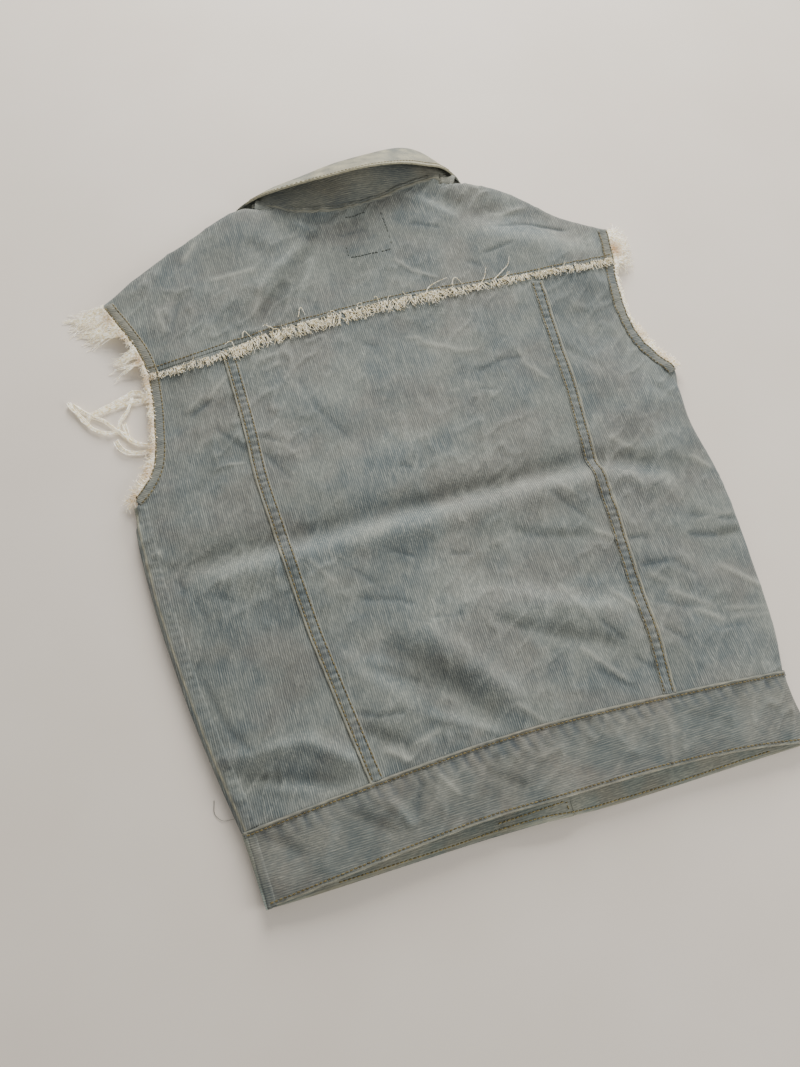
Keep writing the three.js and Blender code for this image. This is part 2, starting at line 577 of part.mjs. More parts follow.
function waistbandFrontLeft() {
  const panel = {
    left: (y) => leftEdge(y) + bandInset(leftEdge, y),
    right: () => INNER_PLACKET_X + PLACKET_WIDTH / 2,
    bottom: (x) => lookUp(FRONT_HEM, 'x', 'y', x),
    top: (x) => frontWaist(x) - GAP / 2,
    height: (x, y) => frontHeight(x, y, INNER_LIFT, BAND),
  };
  const grid = panelGrid(panel, GRIDS.bandFront);
  addSideFold(grid, -1, 1, BAND);
  return clothWall(grid, BAND);
}

function waistbandFrontRight() {
  const panel = {
    left: () => OUTER_PLACKET_X - PLACKET_WIDTH / 2,
    right: (y) => rightEdge(y) - bandInset(rightEdge, y) - HIDDEN_GAP,
    bottom: (x) => lookUp(FRONT_HEM, 'x', 'y', x),
    top: (x) => frontWaist(x) - GAP / 2,
    height: (x, y) => frontHeight(x, y, OUTER_LIFT, BAND),
  };
  return clothWall(panelGrid(panel, GRIDS.bandFront), BAND);
}

// The point a distance along a line of points from its first one
function alongLine(line, distance) {
  let left = distance;
  for (let k = 1; k < line.length; k += 1) {
    const step = line[k].distanceTo(line[k - 1]);
    if (left <= step || k === line.length - 1) {
      return line[k - 1].clone().lerp(line[k], left / step);
    }
    left -= step;
  }
  return line[0].clone();
}

// A strip that lies on a panel: each line runs over the panel from its edge inwards
function stripOnLines(lines, near, far, gap = STRIP_GAP) {
  const lift = CLOTH / 2 + gap + SEAM_STRIP / 2;
  const grid = [near, far].map((distance) => lines.map((line) => {
    const p = alongLine(line, distance);
    p.z += lift;
    return p;
  }));
  const firstWay = grid[0][1].clone().sub(grid[0][0]);
  const acrossWay = grid[1][0].clone().sub(grid[0][0]);
  if (firstWay.cross(acrossWay).z < 0) grid.reverse();
  return clothWall(grid, SEAM_STRIP);
}

const fromRight = (grid) => grid.map((row) => [...row].reverse());
const between = (lines, low, high) => lines.filter((l) => l[0].y > low && l[0].y < high);

function seamStrips(centre, sideLeft) {
  const strip = (lines, top) => stripOnLines(
    between(lines, -Infinity, top), -SEAM_OVERHANG, SEAM_WIDTH,
  );
  return {
    princess_seam_left: strip(centre, panelTop(-140) - FRINGE_REACH),
    princess_seam_right: strip(fromRight(centre), panelTop(140) - FRINGE_REACH),
    side_seam_left: stripOnLines(
      between(sideLeft, -Infinity, SIDE_SEAM_TOP), GAP, SIDE_SEAM_WIDTH, 2 * STRIP_GAP,
    ),
  };
}

// The armhole's edge runs up the side panel and on up the yoke
function armholeLines(sideLines, yokeLines) {
  const yokeRows = yokeLines.slice(1, yokeLines.length - FOLD_STEPS);
  return [...between(sideLines, ARMHOLE_START, Infinity), ...yokeRows];
}

// A collar section: from the neck seam to the fold, round it, and back to the free edge
function collarSection(row) {
  const neck = new THREE.Vector3(row.nx, row.ny, row.nz);
  const corner = new THREE.Vector3(row.fx, row.fy, row.fz);
  const free = new THREE.Vector3(row.ex, row.ey, row.ez);
  const toNeck = neck.clone().sub(corner);
  const toFree = free.clone().sub(corner);
  const half = toNeck.angleTo(toFree) / 2;
  const mostSetBack = toNeck.length() * 0.8;
  const setBack = Math.min(COLLAR_FOLD_RADIUS / Math.tan(half), mostSetBack);
  const radius = setBack * Math.tan(half);
  const startWay = toNeck.clone().normalize();
  const endWay = toFree.clone().normalize();
  const centreWay = startWay.clone().add(endWay).normalize();
  const centre = corner.clone().addScaledVector(centreWay, radius / Math.sin(half));
  const start = corner.clone().addScaledVector(startWay, setBack).sub(centre);
  const end = corner.clone().addScaledVector(endWay, setBack).sub(centre);
  const turn = start.angleTo(end);
  const points = [neck, neck.clone().lerp(start.clone().add(centre), 0.5)];
  for (let k = 0; k <= COLLAR_ARC_STEPS; k += 1) {
    const t = k / COLLAR_ARC_STEPS;
    const a = Math.sin((1 - t) * turn) / Math.sin(turn);
    const b = Math.sin(t * turn) / Math.sin(turn);
    points.push(start.clone().multiplyScalar(a).addScaledVector(end, b).add(centre));
  }
  const lastArc = points[points.length - 1];
  for (const t of [0.5, 1]) points.push(lastArc.clone().lerp(free, t));
  return points;
}

function collar() {
  const stations = COLLAR_SECTIONS.map((row, index) => ({ ...row, index }));
  const columns = Object.keys(COLLAR_SECTIONS[0]);
  const grid = [];
  for (let k = 0; k <= COLLAR_STEPS; k += 1) {
    const at = (stations.length - 1) * k / COLLAR_STEPS;
    const row = Object.fromEntries(
      columns.map((column) => [column, lookUp(stations, 'index', column, at)]),
    );
    grid.push(collarSection(row));
  }
  return clothWall(grid, COLLAR);
}

function button() {
  const profile = [
    new THREE.Vector2(0, 0), new THREE.Vector2(BUTTON_RADIUS - BUTTON_RIM, 0),
    new THREE.Vector2(BUTTON_RADIUS, BUTTON_RIM), new THREE.Vector2(BUTTON_RADIUS, BUTTON_HEAD),
    new THREE.Vector2(BUTTON_SHANK_RADIUS, BUTTON_HEAD),
    new THREE.Vector2(BUTTON_SHANK_RADIUS, BUTTON_HEIGHT), new THREE.Vector2(0, BUTTON_HEIGHT),
  ];
  return new THREE.LatheGeometry(profile, BUTTON_SIDES).rotateX(Math.PI / 2);
}

// Numbers from 0 to 1 that are the same on every run
function numberSource(seed) {
  let state = seed;
  return () => {
    state = (state * 1664525 + 1013904223) % 4294967296;
    return state / 4294967296;
  };
}

// A thread of a few flat sides that thins to its tip, along a line of points
function threadGeometry(line, width) {
  const positions = [];
  const faces = [];
  line.forEach((point, k) => {
    const before = line[Math.max(k - 1, 0)];
    const after = line[Math.min(k + 1, line.length - 1)];
    const way = after.clone().sub(before).normalize();
    const aside = new THREE.Vector3(0, 0, 1).cross(way).normalize();
    const up = way.clone().cross(aside);
    const size = width / 2 * (1 - THREAD_TAPER * k / (line.length - 1));
    for (let s = 0; s < THREAD_SIDES; s += 1) {
      const angle = 2 * Math.PI * s / THREAD_SIDES;
      const p = point.clone().addScaledVector(aside, Math.cos(angle) * size)
        .addScaledVector(up, Math.sin(angle) * size);
      positions.push(p.x, p.y, p.z);
    }
  });
  for (let k = 0; k < line.length - 1; k += 1) {
    for (let s = 0; s < THREAD_SIDES; s += 1) {
      const a = k * THREAD_SIDES + s;
      const b = k * THREAD_SIDES + (s + 1) % THREAD_SIDES;
      faces.push(a, b, b + THREAD_SIDES, a, b + THREAD_SIDES, a + THREAD_SIDES);
    }
  }
  const e = (line.length - 1) * THREAD_SIDES;
  faces.push(0, 2, 1, e, e + 1, e + 2);
  const geometry = new THREE.BufferGeometry();
  geometry.setAttribute('position', new THREE.Float32BufferAttribute(positions, 3));
  geometry.setIndex(faces);
  return geometry;
}

function toSolid(geometry) {
  const bare = geometry.clone();
  bare.deleteAttribute('normal');
  bare.deleteAttribute('uv');
  const tolerance = 1e-4;
  const merged = mergeVertices(bare, tolerance);
  return new wasm.Manifold(new wasm.Mesh({
    numProp: 3,
    vertProperties: new Float32Array(merged.attributes.position.array),
    triVerts: new Uint32Array(merged.index.array),
  }));
}

function fuse(geometries) {
  const solid = geometries.map(toSolid).reduce((sum, part) => sum.add(part));
  const mesh = solid.getMesh();
  const geometry = new THREE.BufferGeometry();
  geometry.setAttribute('position', new THREE.Float32BufferAttribute(mesh.vertProperties, 3));
  geometry.setIndex(new THREE.Uint32BufferAttribute(mesh.triVerts, 1));
  return geometry;
}

// The strip that holds an armhole's threads lies just outside the cloth's edge
function armholeFringe(lines, side, groups, seed) {
  const random = numberSource(seed);
  const middle = GAP + ROOT_STRIP / 2;
  const roots = lines.map((line, k) => {
    const before = lines[Math.max(k - 1, 0)][0];
    const after = lines[Math.min(k + 1, lines.length - 1)][0];
    const way = after.clone().sub(before).setZ(0).normalize();
    const outwards = new THREE.Vector3(way.y, -way.x, 0).multiplyScalar(side);
    return { at: line[0].clone().addScaledVector(outwards, middle), outwards };
  });
  const strip = [-1, 1].map((way) => roots.map(
    ({ at, outwards }) => at.clone().addScaledVector(outwards, way * ROOT_STRIP / 2),
  ));
  if (side > 0) strip.reverse();
  const pieces = [clothWall(strip, ROOT_STRIP)];
  const endMargin = 0.03; // a thread's root stays this share of a step inside the strip
  const rootAt = (y) => {
    const k = clamp(roots.filter((root) => root.at.y <= y).length, 1, roots.length - 1);
    const low = roots[k - 1].at;
    const high = roots[k].at;
    const share = clamp((y - low.y) / (high.y - low.y), endMargin, 1 - endMargin);
    return low.clone().lerp(high, share);
  };
  for (const group of groups) {
    for (let k = 0; k < group.count; k += 1) {
      const share = (k + 0.5) / group.count;
      const root = rootAt(mix(group.from, group.to, share));
      const length = mix(group.shortest, group.longest, random());
      const turn = THREE.MathUtils.degToRad(group.heading + group.fan * (2 * share - 1));
      const line = [0, 0.5, 1].map((t) => {
        const sunk = Math.min(1, t * length / FRINGE_FALL) ** 2;
        const z = mix(root.z, FLOOR_CLEARANCE + THREAD_WIDTH / 2, sunk);
        const x = root.x + Math.cos(turn) * length * t;
        return new THREE.Vector3(x, root.y + Math.sin(turn) * length * t, z);
      });
      pieces.push(threadGeometry(line, THREAD_WIDTH));
    }
  }
  return fuse(pieces);
}

// The yoke's raw edge: a strip on the panels just below the yoke and threads that lie on them
function yokeFringe() {
  const random = numberSource(SEEDS.yoke);
  const lift = CLOTH / 2 + GAP;
  const onPanel = (x, below, up) => {
    const y = yokeSeam(x) - below;
    return new THREE.Vector3(x, y, backHeight(x, y) + lift + up);
  };
  const { from, to, count, shortest, longest, fan, stripNear, stripFar, stripOver } = YOKE_FRINGE;
  const strip = [[], []];
  for (let k = 0; k <= YOKE_FRINGE.stripSteps; k += 1) {
    const x = mix(from - stripOver, to + stripOver, k / YOKE_FRINGE.stripSteps);
    strip[0].push(onPanel(x, stripFar, ROOT_STRIP / 2));
    strip[1].push(onPanel(x, stripNear, ROOT_STRIP / 2));
  }
  const pieces = [clothWall(strip, ROOT_STRIP)];
  const root = (stripNear + stripFar) / 2;
  for (let k = 0; k < count; k += 1) {
    const x = mix(from, to, (k + 0.3 + 0.4 * random()) / count);
    const length = mix(shortest, longest, random());
    const lean = Math.tan(THREE.MathUtils.degToRad(fan * (2 * random() - 1)));
    const line = [0, 0.5, 1].map((t) => {
      const aside = lean * length * t * t * 0.6;
      const arch = THREAD_ARCH * Math.sin(Math.PI * t);
      return onPanel(x + aside, root + length * t, ROOT_STRIP / 2 + arch);
    });
    pieces.push(threadGeometry(line, THREAD_WIDTH));
  }
  return fuse(pieces);
}

const vest = new THREE.Group();

function addPiece(name, geometry, colour, roughness = 0.9, metalness = 0) {
  const material = new THREE.MeshStandardMaterial({ color: colour, roughness, metalness });
  const mesh = new THREE.Mesh(geometry, material);
  mesh.name = name;
  vest.add(mesh);
  return mesh;
}

const yoke = backYokeGrid();
const centreGrid = centreBackGrid();
const sideLeft = sideBackLeftGrid();
const sideRight = sideBackRightGrid();
const armholeLeft = armholeLines(sideLeft, yoke);
const armholeRight = armholeLines(fromRight(sideRight), fromRight(yoke));
addPiece('back_yoke', clothWall(yoke, CLOTH), COLOURS.denim);
addPiece('centre_back', clothWall(centreGrid, CLOTH), COLOURS.denim);
addPiece('side_back_left', clothWall(sideLeft, CLOTH), COLOURS.denim);
addPiece('side_back_right', clothWall(sideRight, CLOTH), COLOURS.denim);
const yokeEnd = yoke[yoke.length - 1];
addPiece('front_left', frontLeft(yokeEnd), COLOURS.denim);
addPiece('front_right', frontRight(yokeEnd), COLOURS.denim);
addPiece('placket_left', placket(INNER_PLACKET_X, INNER_LIFT), COLOURS.worn);
addPiece('placket_right', placket(OUTER_PLACKET_X, OUTER_LIFT), COLOURS.worn);
addPiece('waistband_back', waistbandBack(), COLOURS.worn);
addPiece('waistband_front_left', waistbandFrontLeft(), COLOURS.worn);
addPiece('waistband_front_right', waistbandFrontRight(), COLOURS.worn);
addPiece('collar', collar(), COLOURS.collar);
const strips = {
  ...seamStrips(centreGrid, sideLeft),
  armhole_band_left: stripOnLines(armholeLeft, ARMHOLE_BAND_INSET, ARMHOLE_BAND_WIDTH),
  armhole_band_right: stripOnLines(armholeRight, ARMHOLE_BAND_INSET, ARMHOLE_BAND_WIDTH),
};
for (const [name, geometry] of Object.entries(strips)) addPiece(name, geometry, COLOURS.worn);
const fringes = {
  yoke_fringe: yokeFringe(),
  armhole_fringe_left: armholeFringe(armholeLeft, -1, LEFT_FRINGE, SEEDS.left),
  armhole_fringe_right: armholeFringe(armholeRight, 1, RIGHT_FRINGE, SEEDS.right),
};
for (const [name, geometry] of Object.entries(fringes)) addPiece(name, geometry, COLOURS.fringe, 1);
for (let k = 0; k < BUTTON_COUNT; k += 1) {
  const disc = addPiece(`button_${k + 1}`, button(), COLOURS.button, 0.5, 0.8);
  disc.position.set(OUTER_PLACKET_X, BUTTON_TOP_Y - k * BUTTON_SPACING, 0);
}

// The origin is the middle of the whole vest's outline, on the surface it lies on
const box = new THREE.Box3().setFromObject(vest);
const centre = box.getCenter(new THREE.Vector3());
vest.position.set(-centre.x, -centre.y, -box.min.z);
vest.updateMatrixWorld(true);

export default vest;
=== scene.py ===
# %% [markdown]
# A washed denim vest lies face down on a pale table, with its back up. A vest is thin cloth
# with a lot of history in it: pressed creases, felled seams that pucker, topstitching in
# heavy thread and cut edges that have frayed into cream yarn. The solid model gives the form
# and the real size of each sewn piece. This lesson dresses them: it refines each wall, works
# the creases in, sews the seams and grows the fray.

# %% Load the frame
import math
import random
from collections import namedtuple

import bmesh
import bpy
import numpy as np
from mathutils import Matrix, Vector, noise
from mathutils.bvhtree import BVHTree


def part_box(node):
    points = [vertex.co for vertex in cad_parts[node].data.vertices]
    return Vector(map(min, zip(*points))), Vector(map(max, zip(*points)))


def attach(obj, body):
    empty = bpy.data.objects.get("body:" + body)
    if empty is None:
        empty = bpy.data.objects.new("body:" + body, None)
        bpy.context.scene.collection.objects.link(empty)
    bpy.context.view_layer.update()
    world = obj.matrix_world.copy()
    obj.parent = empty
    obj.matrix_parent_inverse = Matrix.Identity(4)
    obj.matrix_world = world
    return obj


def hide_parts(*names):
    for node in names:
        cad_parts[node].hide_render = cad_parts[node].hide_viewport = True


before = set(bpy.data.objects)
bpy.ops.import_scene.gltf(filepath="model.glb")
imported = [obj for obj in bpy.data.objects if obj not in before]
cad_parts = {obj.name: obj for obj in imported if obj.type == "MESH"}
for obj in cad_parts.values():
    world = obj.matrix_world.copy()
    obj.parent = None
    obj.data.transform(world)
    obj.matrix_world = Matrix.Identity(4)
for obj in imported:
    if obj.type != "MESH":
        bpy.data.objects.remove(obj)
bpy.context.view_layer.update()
MM = 0.001
random.seed(11)
print("sewn solids:", len(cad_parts))

# %% [markdown]
# Sizes on a garment are taken from a natural point. Here it is the middle of the line
# between the underarms, with x across and y towards the collar, in millimetres. The first
# button lies 150 mm above that point, so the button finds it in the frame.

# %% The vest's own measuring point
FIRST_BUTTON_Y = 150
button_low, button_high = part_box("button_1")
ORIGIN = Vector((
    (button_low[0] + button_high[0]) / 2,
    (button_low[1] + button_high[1]) / 2 - FIRST_BUTTON_Y * MM,
    0,
))


def place(x, y, z=0.0):
    """A point of the vest, given in millimetres from its measuring point, in metres."""
    return Vector((x * MM, y * MM, z * MM)) + ORIGIN


print("measuring point:", [round(v, 4) for v in ORIGIN])

# %% [markdown]
# The camera looks down at the table from beside the hem, a little tilted and turned. Its
# place and turn come from matching known widths of the vest, so they are real distances: it
# hangs 614 mm above the table.

# %% Camera
IMAGE_HEIGHT_PX = 1067
FOCAL_PX = 801
SENSOR_MM = 36
CAMERA_PLACE = (-138.7, -253.6, 614.0)
CAMERA_TURN = (-16.15, 8.42, 14.52)

turn_x, turn_y, turn_z = (
    Matrix.Rotation(math.radians(angle), 3, axis) for angle, axis in zip(CAMERA_TURN, "XYZ")
)
camera_data = bpy.data.cameras.new("photo_camera")
camera_data.sensor_width = SENSOR_MM
camera_data.lens = FOCAL_PX / IMAGE_HEIGHT_PX * SENSOR_MM
camera = bpy.data.objects.new("photo_camera", camera_data)
bpy.context.collection.objects.link(camera)
camera.matrix_world = Matrix.Translation(place(*CAMERA_PLACE)) @ (
    (turn_z @ turn_y @ turn_x).transposed().to_4x4()
)
bpy.context.scene.camera = camera
print("lens", round(camera_data.lens, 2), "mm")

# %% [markdown]
# Colours are written as sRGB hex, as a paint chart gives them, and one function turns them
# into the linear values that Blender computes with. Another adds a shader node: it takes the
# node's settings, and a number or a link for each input.


# %% Colour and node helpers
def hex_colour(text):
    """An sRGB hex colour as linear red, green, blue and alpha."""
    parts = [int(text[i:i + 2], 16) / 255 for i in (1, 3, 5)]
    linear = [c / 12.92 if c <= 0.04045 else ((c + 0.055) / 1.055) ** 2.4 for c in parts]
    return (*linear, 1.0)


def add(tree, kind, inputs=None, **settings):
    """One node with its settings. Each input is a value, or the socket that feeds it."""
    made = tree.nodes.new(kind)
    for name, value in settings.items():
        setattr(made, name, value)
    for socket, value in (inputs or {}).items():
        if isinstance(value, bpy.types.NodeSocket):
            tree.links.new(value, made.inputs[socket])
        else:
            made.inputs[socket].default_value = value
    return made


def mix(tree, share, first, second, blend="MIX"):
    """The colour between two colours. Sockets 0, 6 and 7 of a colour mix are its inputs."""
    return add(tree, "ShaderNodeMix", {0: share, 6: first, 7: second},
               data_type="RGBA", blend_type=blend).outputs[2]


def calc(tree, operation, a, b=0.0, clamp=False):
    """A sum on two values or sockets."""
    return add(tree, "ShaderNodeMath", {0: a, 1: b}, operation=operation,
               use_clamp=clamp).outputs[0]


def new_material(name):
    """A material, its node tree and its main shader."""
    material = bpy.data.materials.new(name)
    material.use_nodes = True
    tree = material.node_tree
    return material, tree, tree.nodes["Principled BSDF"]


print("helpers ready")

# %% [markdown]
# Denim is a twill of blue warp and white weft. This one was washed until the indigo almost
# went, so it is a pale grey green with slubs, the thick places of the yarn, that show as
# light streaks along the warp. A picture of cloth would repeat and blur close by, so the
# finish is computed. Streaks are noise that is fine across the yarn and long along it. The
# real yarns are 0.5 mm apart, finer than the picture shows, so the wales, the lines that the
# warp draws, are a wave drawn coarser, 1.6 mm apart. Four painted masks ride on the cloth's
# own points. Fold marks the sharp creases and crumples: their crests are worn pale with a
# painted highlight, and their troughs are painted shade. The second does the same more
# softly on the broad creases, and adds broad patches of painted light and shade. Edge is
# where a seam's rim has worn to cream, and pucker where a seam's gathers kept their dye.

# %% Washed denim
WALE_MM = 1.6
SLUB_MM, SLUB_LENGTH_MM = 1.1, 16
GRAIN_MM = 0.9
CLOUD_MM = 38
WAVE_UNIT = math.tau / 20  # a wave texture's period at scale 1
# the top of a sharp crease: worn pale, with a painted highlight
RUBBED_PALE_AND_LIT = "#b4b6aa"  # the top of a sharp crease
# the bottom of a sharp crease: painted shade
CREASE_SHADE_BLUE = "#3b464c"  # the bottom of one
GATHER_BLUE = "#3b4650"  # between a seam's puffs
# painted shade: the grain's dark dots stand for the shade in the gaps between yarns
YARN_GAP_SHADE = "#434c50"  # the dark dots between yarns, which give the twill its bite
RIM_CREAM = "#bcb698"  # a seam's rim, worn to the weft


def denim(name, along, dark, pale, slub, stain, streaks=0.5):
    """Washed twill with its wales along X or Y of the garment, as strong as its streaks.

    The four colours are its darkest wash, its palest one, its slubs and its tan stains.
    """
    material, tree, shader = new_material(name)
    position = add(tree, "ShaderNodeTexCoord").outputs["Object"]

    def stretched(across, length):
        """The position, scaled to one size across the warp and another along it."""
        wide, tall = 1 / across, 1 / length
        scale = (wide, tall, wide) if along == "Y" else (tall, wide, wide)
        return add(tree, "ShaderNodeMapping", {"Vector": position, "Scale": scale}).outputs[0]

    def pattern(across, length, low, high, detail=2.0):
        """Noise with its own size across and along the warp, stretched to 0 to 1."""
        grain = add(tree, "ShaderNodeTexNoise", {
            "Vector": stretched(across * MM, length * MM), "Scale": 1.0, "Detail": detail})
        return add(tree, "ShaderNodeMapRange", {
            0: grain.outputs[0], 1: low, 2: high, 3: 0.0, 4: 1.0}).outputs[0]

    def painted(mask):
        return add(tree, "ShaderNodeAttribute", attribute_name=mask).outputs["Fac"]

    def part(mask, share):
        return calc(tree, "MULTIPLY", mask, share, clamp=True)

    # The cloth's patterns, from the warp's lines up to stains as wide as a hand
    lines = add(tree, "ShaderNodeTexWave", {
        "Vector": stretched(1.0, 7.0), "Scale": WAVE_UNIT / (WALE_MM * MM), "Distortion": 3.2,
        "Detail": 2.0, "Detail Scale": 0.8}, bands_direction="X" if along == "Y" else "Y")
    slubs = pattern(SLUB_MM, SLUB_LENGTH_MM, 0.5, 0.7, 0.0)
    worn = pattern(CLOUD_MM / 4, CLOUD_MM / 2, 0.4, 0.64, 2.0)
    grain = pattern(GRAIN_MM, GRAIN_MM * 4, 0.32, 0.68, 1.0)
    clouds = pattern(CLOUD_MM, CLOUD_MM * 0.8, 0.4, 0.6, 4.0)
    stains = pattern(CLOUD_MM * 1.5, CLOUD_MM * 1.2, 0.47, 0.62, 3.0)
    wales = calc(tree, "MULTIPLY", lines.outputs["Fac"], calc(tree, "ADD", part(slubs, 0.5), 0.7))

    # The wash: clouds and stains under, wales, slubs and grain over them
    colour = mix(tree, clouds, hex_colour(dark), hex_colour(pale))
    colour = mix(tree, part(stains, 0.6), colour, hex_colour(stain))
    colour = mix(tree, part(worn, 0.12), colour, hex_colour(slub))
    colour = mix(tree, part(wales, streaks), colour, hex_colour(slub))
    colour = mix(tree, part(slubs, streaks * 0.25), colour, hex_colour(slub))
    # the grain's dark dots are painted shade between the yarns, where the bump sinks
    colour = mix(tree, part(grain, 0.4), colour, hex_colour(YARN_GAP_SHADE))

    # The painted masks
    # The second mask scales the wash's brightness: crests paler, worn and a painted highlight, troughs
    # darker as painted shade, with the patches' painted light and shade
    value = calc(tree, "MULTIPLY_ADD", painted("wear_and_shade"), 0.4)
    value.node.inputs[2].default_value = 1.0
    colour = add(tree, "ShaderNodeHueSaturation", {"Value": value, "Color": colour}).outputs[0]
    # Fold paint: crests of sharp creases and crumples worn pale with a painted highlight, troughs in
    # painted shade
    fold = painted("fold")
    colour = mix(tree, part(fold, 0.4), colour, hex_colour(RUBBED_PALE_AND_LIT))
    colour = mix(tree, part(fold, -0.6), colour, hex_colour(CREASE_SHADE_BLUE))
    colour = mix(tree, part(painted("pucker"), 0.5), colour, hex_colour(GATHER_BLUE))
    rubbed = calc(tree, "MULTIPLY", painted("edge"), calc(tree, "ADD", grain, 0.3, clamp=True))
    colour = mix(tree, rubbed, colour, hex_colour(RIM_CREAM))

    # Wales stand up and grain sinks. Cotton is matt, with a thin nap that its sheen shows.
    height = calc(tree, "SUBTRACT", wales, part(grain, 0.8))
    relief = add(tree, "ShaderNodeBump", {
        "Strength": streaks, "Distance": 0.3 * MM, "Height": height})
    tree.links.new(colour, shader.inputs["Base Color"])
    tree.links.new(relief.outputs[0], shader.inputs["Normal"])
    shader.inputs["Roughness"].default_value = 0.92
    shader.inputs["Specular IOR Level"].default_value = 0.25
    shader.inputs["Sheen Weight"].default_value = 0.1
    shader.inputs["Sheen Roughness"].default_value = 0.6
    return material


BODY_DENIM = denim("washed twill, warp up the body", "Y",
                   "#455156", "#666c68", "#a6aaa0", "#635f5a")
BAND_DENIM = denim("washed twill, warp along the band", "X",
                   "#4a5455", "#6a6c66", "#a0a094", "#675f57", streaks=0.36)
RUBBED_DENIM = denim("washed twill, rubbed and tanned", "X",
                     "#4c565a", "#6d716a", "#adac9b", "#757060", streaks=0.45)
FRONT_DENIM = denim("washed twill, paler front band", "X",
                    "#6f7a75", "#8d9084", "#bcbcaa", "#857d6c", streaks=0.34)
print("denims:", [m.name for m in (BODY_DENIM, BAND_DENIM, RUBBED_DENIM, FRONT_DENIM)])

# %% [markdown]
# Sewing thread, loose yarn and the buttons' aged brass are plain next to the denim. Thread
# is olive gold and slightly shiny; on the band's inside it is painted lighter, against the
# shade it sits in. The fray is the white weft of the denim, gone cream, and it is matt, but
# the loose yarn at the armholes glows a little, as painted light. A single yarn is too thin
# for a pattern of its own, so one function gives every thread two tones in short patches.


# %% Thread, yarn and brass
RUST = "#a5793a"


def spun(name, dark, light, size_mm, roughness, sheen, glow=0.0):
    """Twisted cotton: two tones in short patches, tan where the rust mask says so.

    Some light goes into it and out again, which keeps its shaded side from going grey. The
    glow stands for light that scatters on through loose fibres.
    """
    material, tree, shader = new_material(name)
    position = add(tree, "ShaderNodeTexCoord").outputs["Object"]
    patches = add(tree, "ShaderNodeTexNoise", {
        "Vector": position, "Scale": 1 / (size_mm * MM), "Detail": 2.0}).outputs[0]
    share = add(tree, "ShaderNodeMapRange", {0: patches, 1: 0.35, 2: 0.65, 3: 0.0, 4: 1.0})
    colour = mix(tree, share.outputs[0], hex_colour(dark), hex_colour(light))
    rust = add(tree, "ShaderNodeAttribute", attribute_name="rust").outputs["Fac"]
    colour = mix(tree, rust, colour, hex_colour(RUST))
    relief = add(tree, "ShaderNodeBump", {
        "Strength": 0.3, "Distance": 0.2 * MM, "Height": patches})
    tree.links.new(colour, shader.inputs["Base Color"])
    tree.links.new(relief.outputs[0], shader.inputs["Normal"])
    shader.inputs["Roughness"].default_value = roughness
    shader.inputs["Specular IOR Level"].default_value = 0.3
    shader.inputs["Sheen Weight"].default_value = sheen
    shader.inputs["Subsurface Weight"].default_value = 0.3
    shader.inputs["Subsurface Radius"].default_value = (1.0, 0.9, 0.7)
    shader.inputs["Subsurface Scale"].default_value = 1.0 * MM
    tree.links.new(colour, shader.inputs["Emission Color"])
    shader.inputs["Emission Strength"].default_value = glow
    return material


def aged_brass():
    """Cast brass: satin, browner in patches."""
    material, tree, shader = new_material("aged brass, satin")
    position = add(tree, "ShaderNodeTexCoord").outputs["Object"]
    patches = add(tree, "ShaderNodeTexNoise", {
        "Vector": position, "Scale": 1 / (3 * MM), "Detail": 3.0}).outputs[0]
    colour = mix(tree, patches, hex_colour("#7d6238"), hex_colour("#b39a66"))
    tree.links.new(colour, shader.inputs["Base Color"])
    shader.inputs["Metallic"].default_value = 1.0
    shader.inputs["Roughness"].default_value = 0.42
    return material


GOLD_THREAD = spun("olive gold topstitch thread", "#4a4229", "#776b43", 3.0, 0.6, 0.1)
# The inside rows sit in shade, so their thread is the same gold, painted lighter
LIGHTENED_THREAD = spun("gold topstitch thread, lightened for shade", "#6a5f3a", "#988a58", 3.0, 0.6, 0.1)
GREY_THREAD = spun("washed grey thread", "#343b3c", "#5a605b", 2.0, 0.75, 0.1)
CREAM_YARN = spun("frayed cotton weft", "#c2b387", "#fffae6", 1.8, 0.95, 0.2)
# Its glow is painted light: the loose yarn shines by itself, to stay bright in the vest's shade
LOOSE_YARN = spun("pulled cotton weft, loose", "#dccfa8", "#fffdf4", 2.0, 0.95, 0.2, glow=0.36)
BRASS = aged_brass()
print("threads and metal ready")
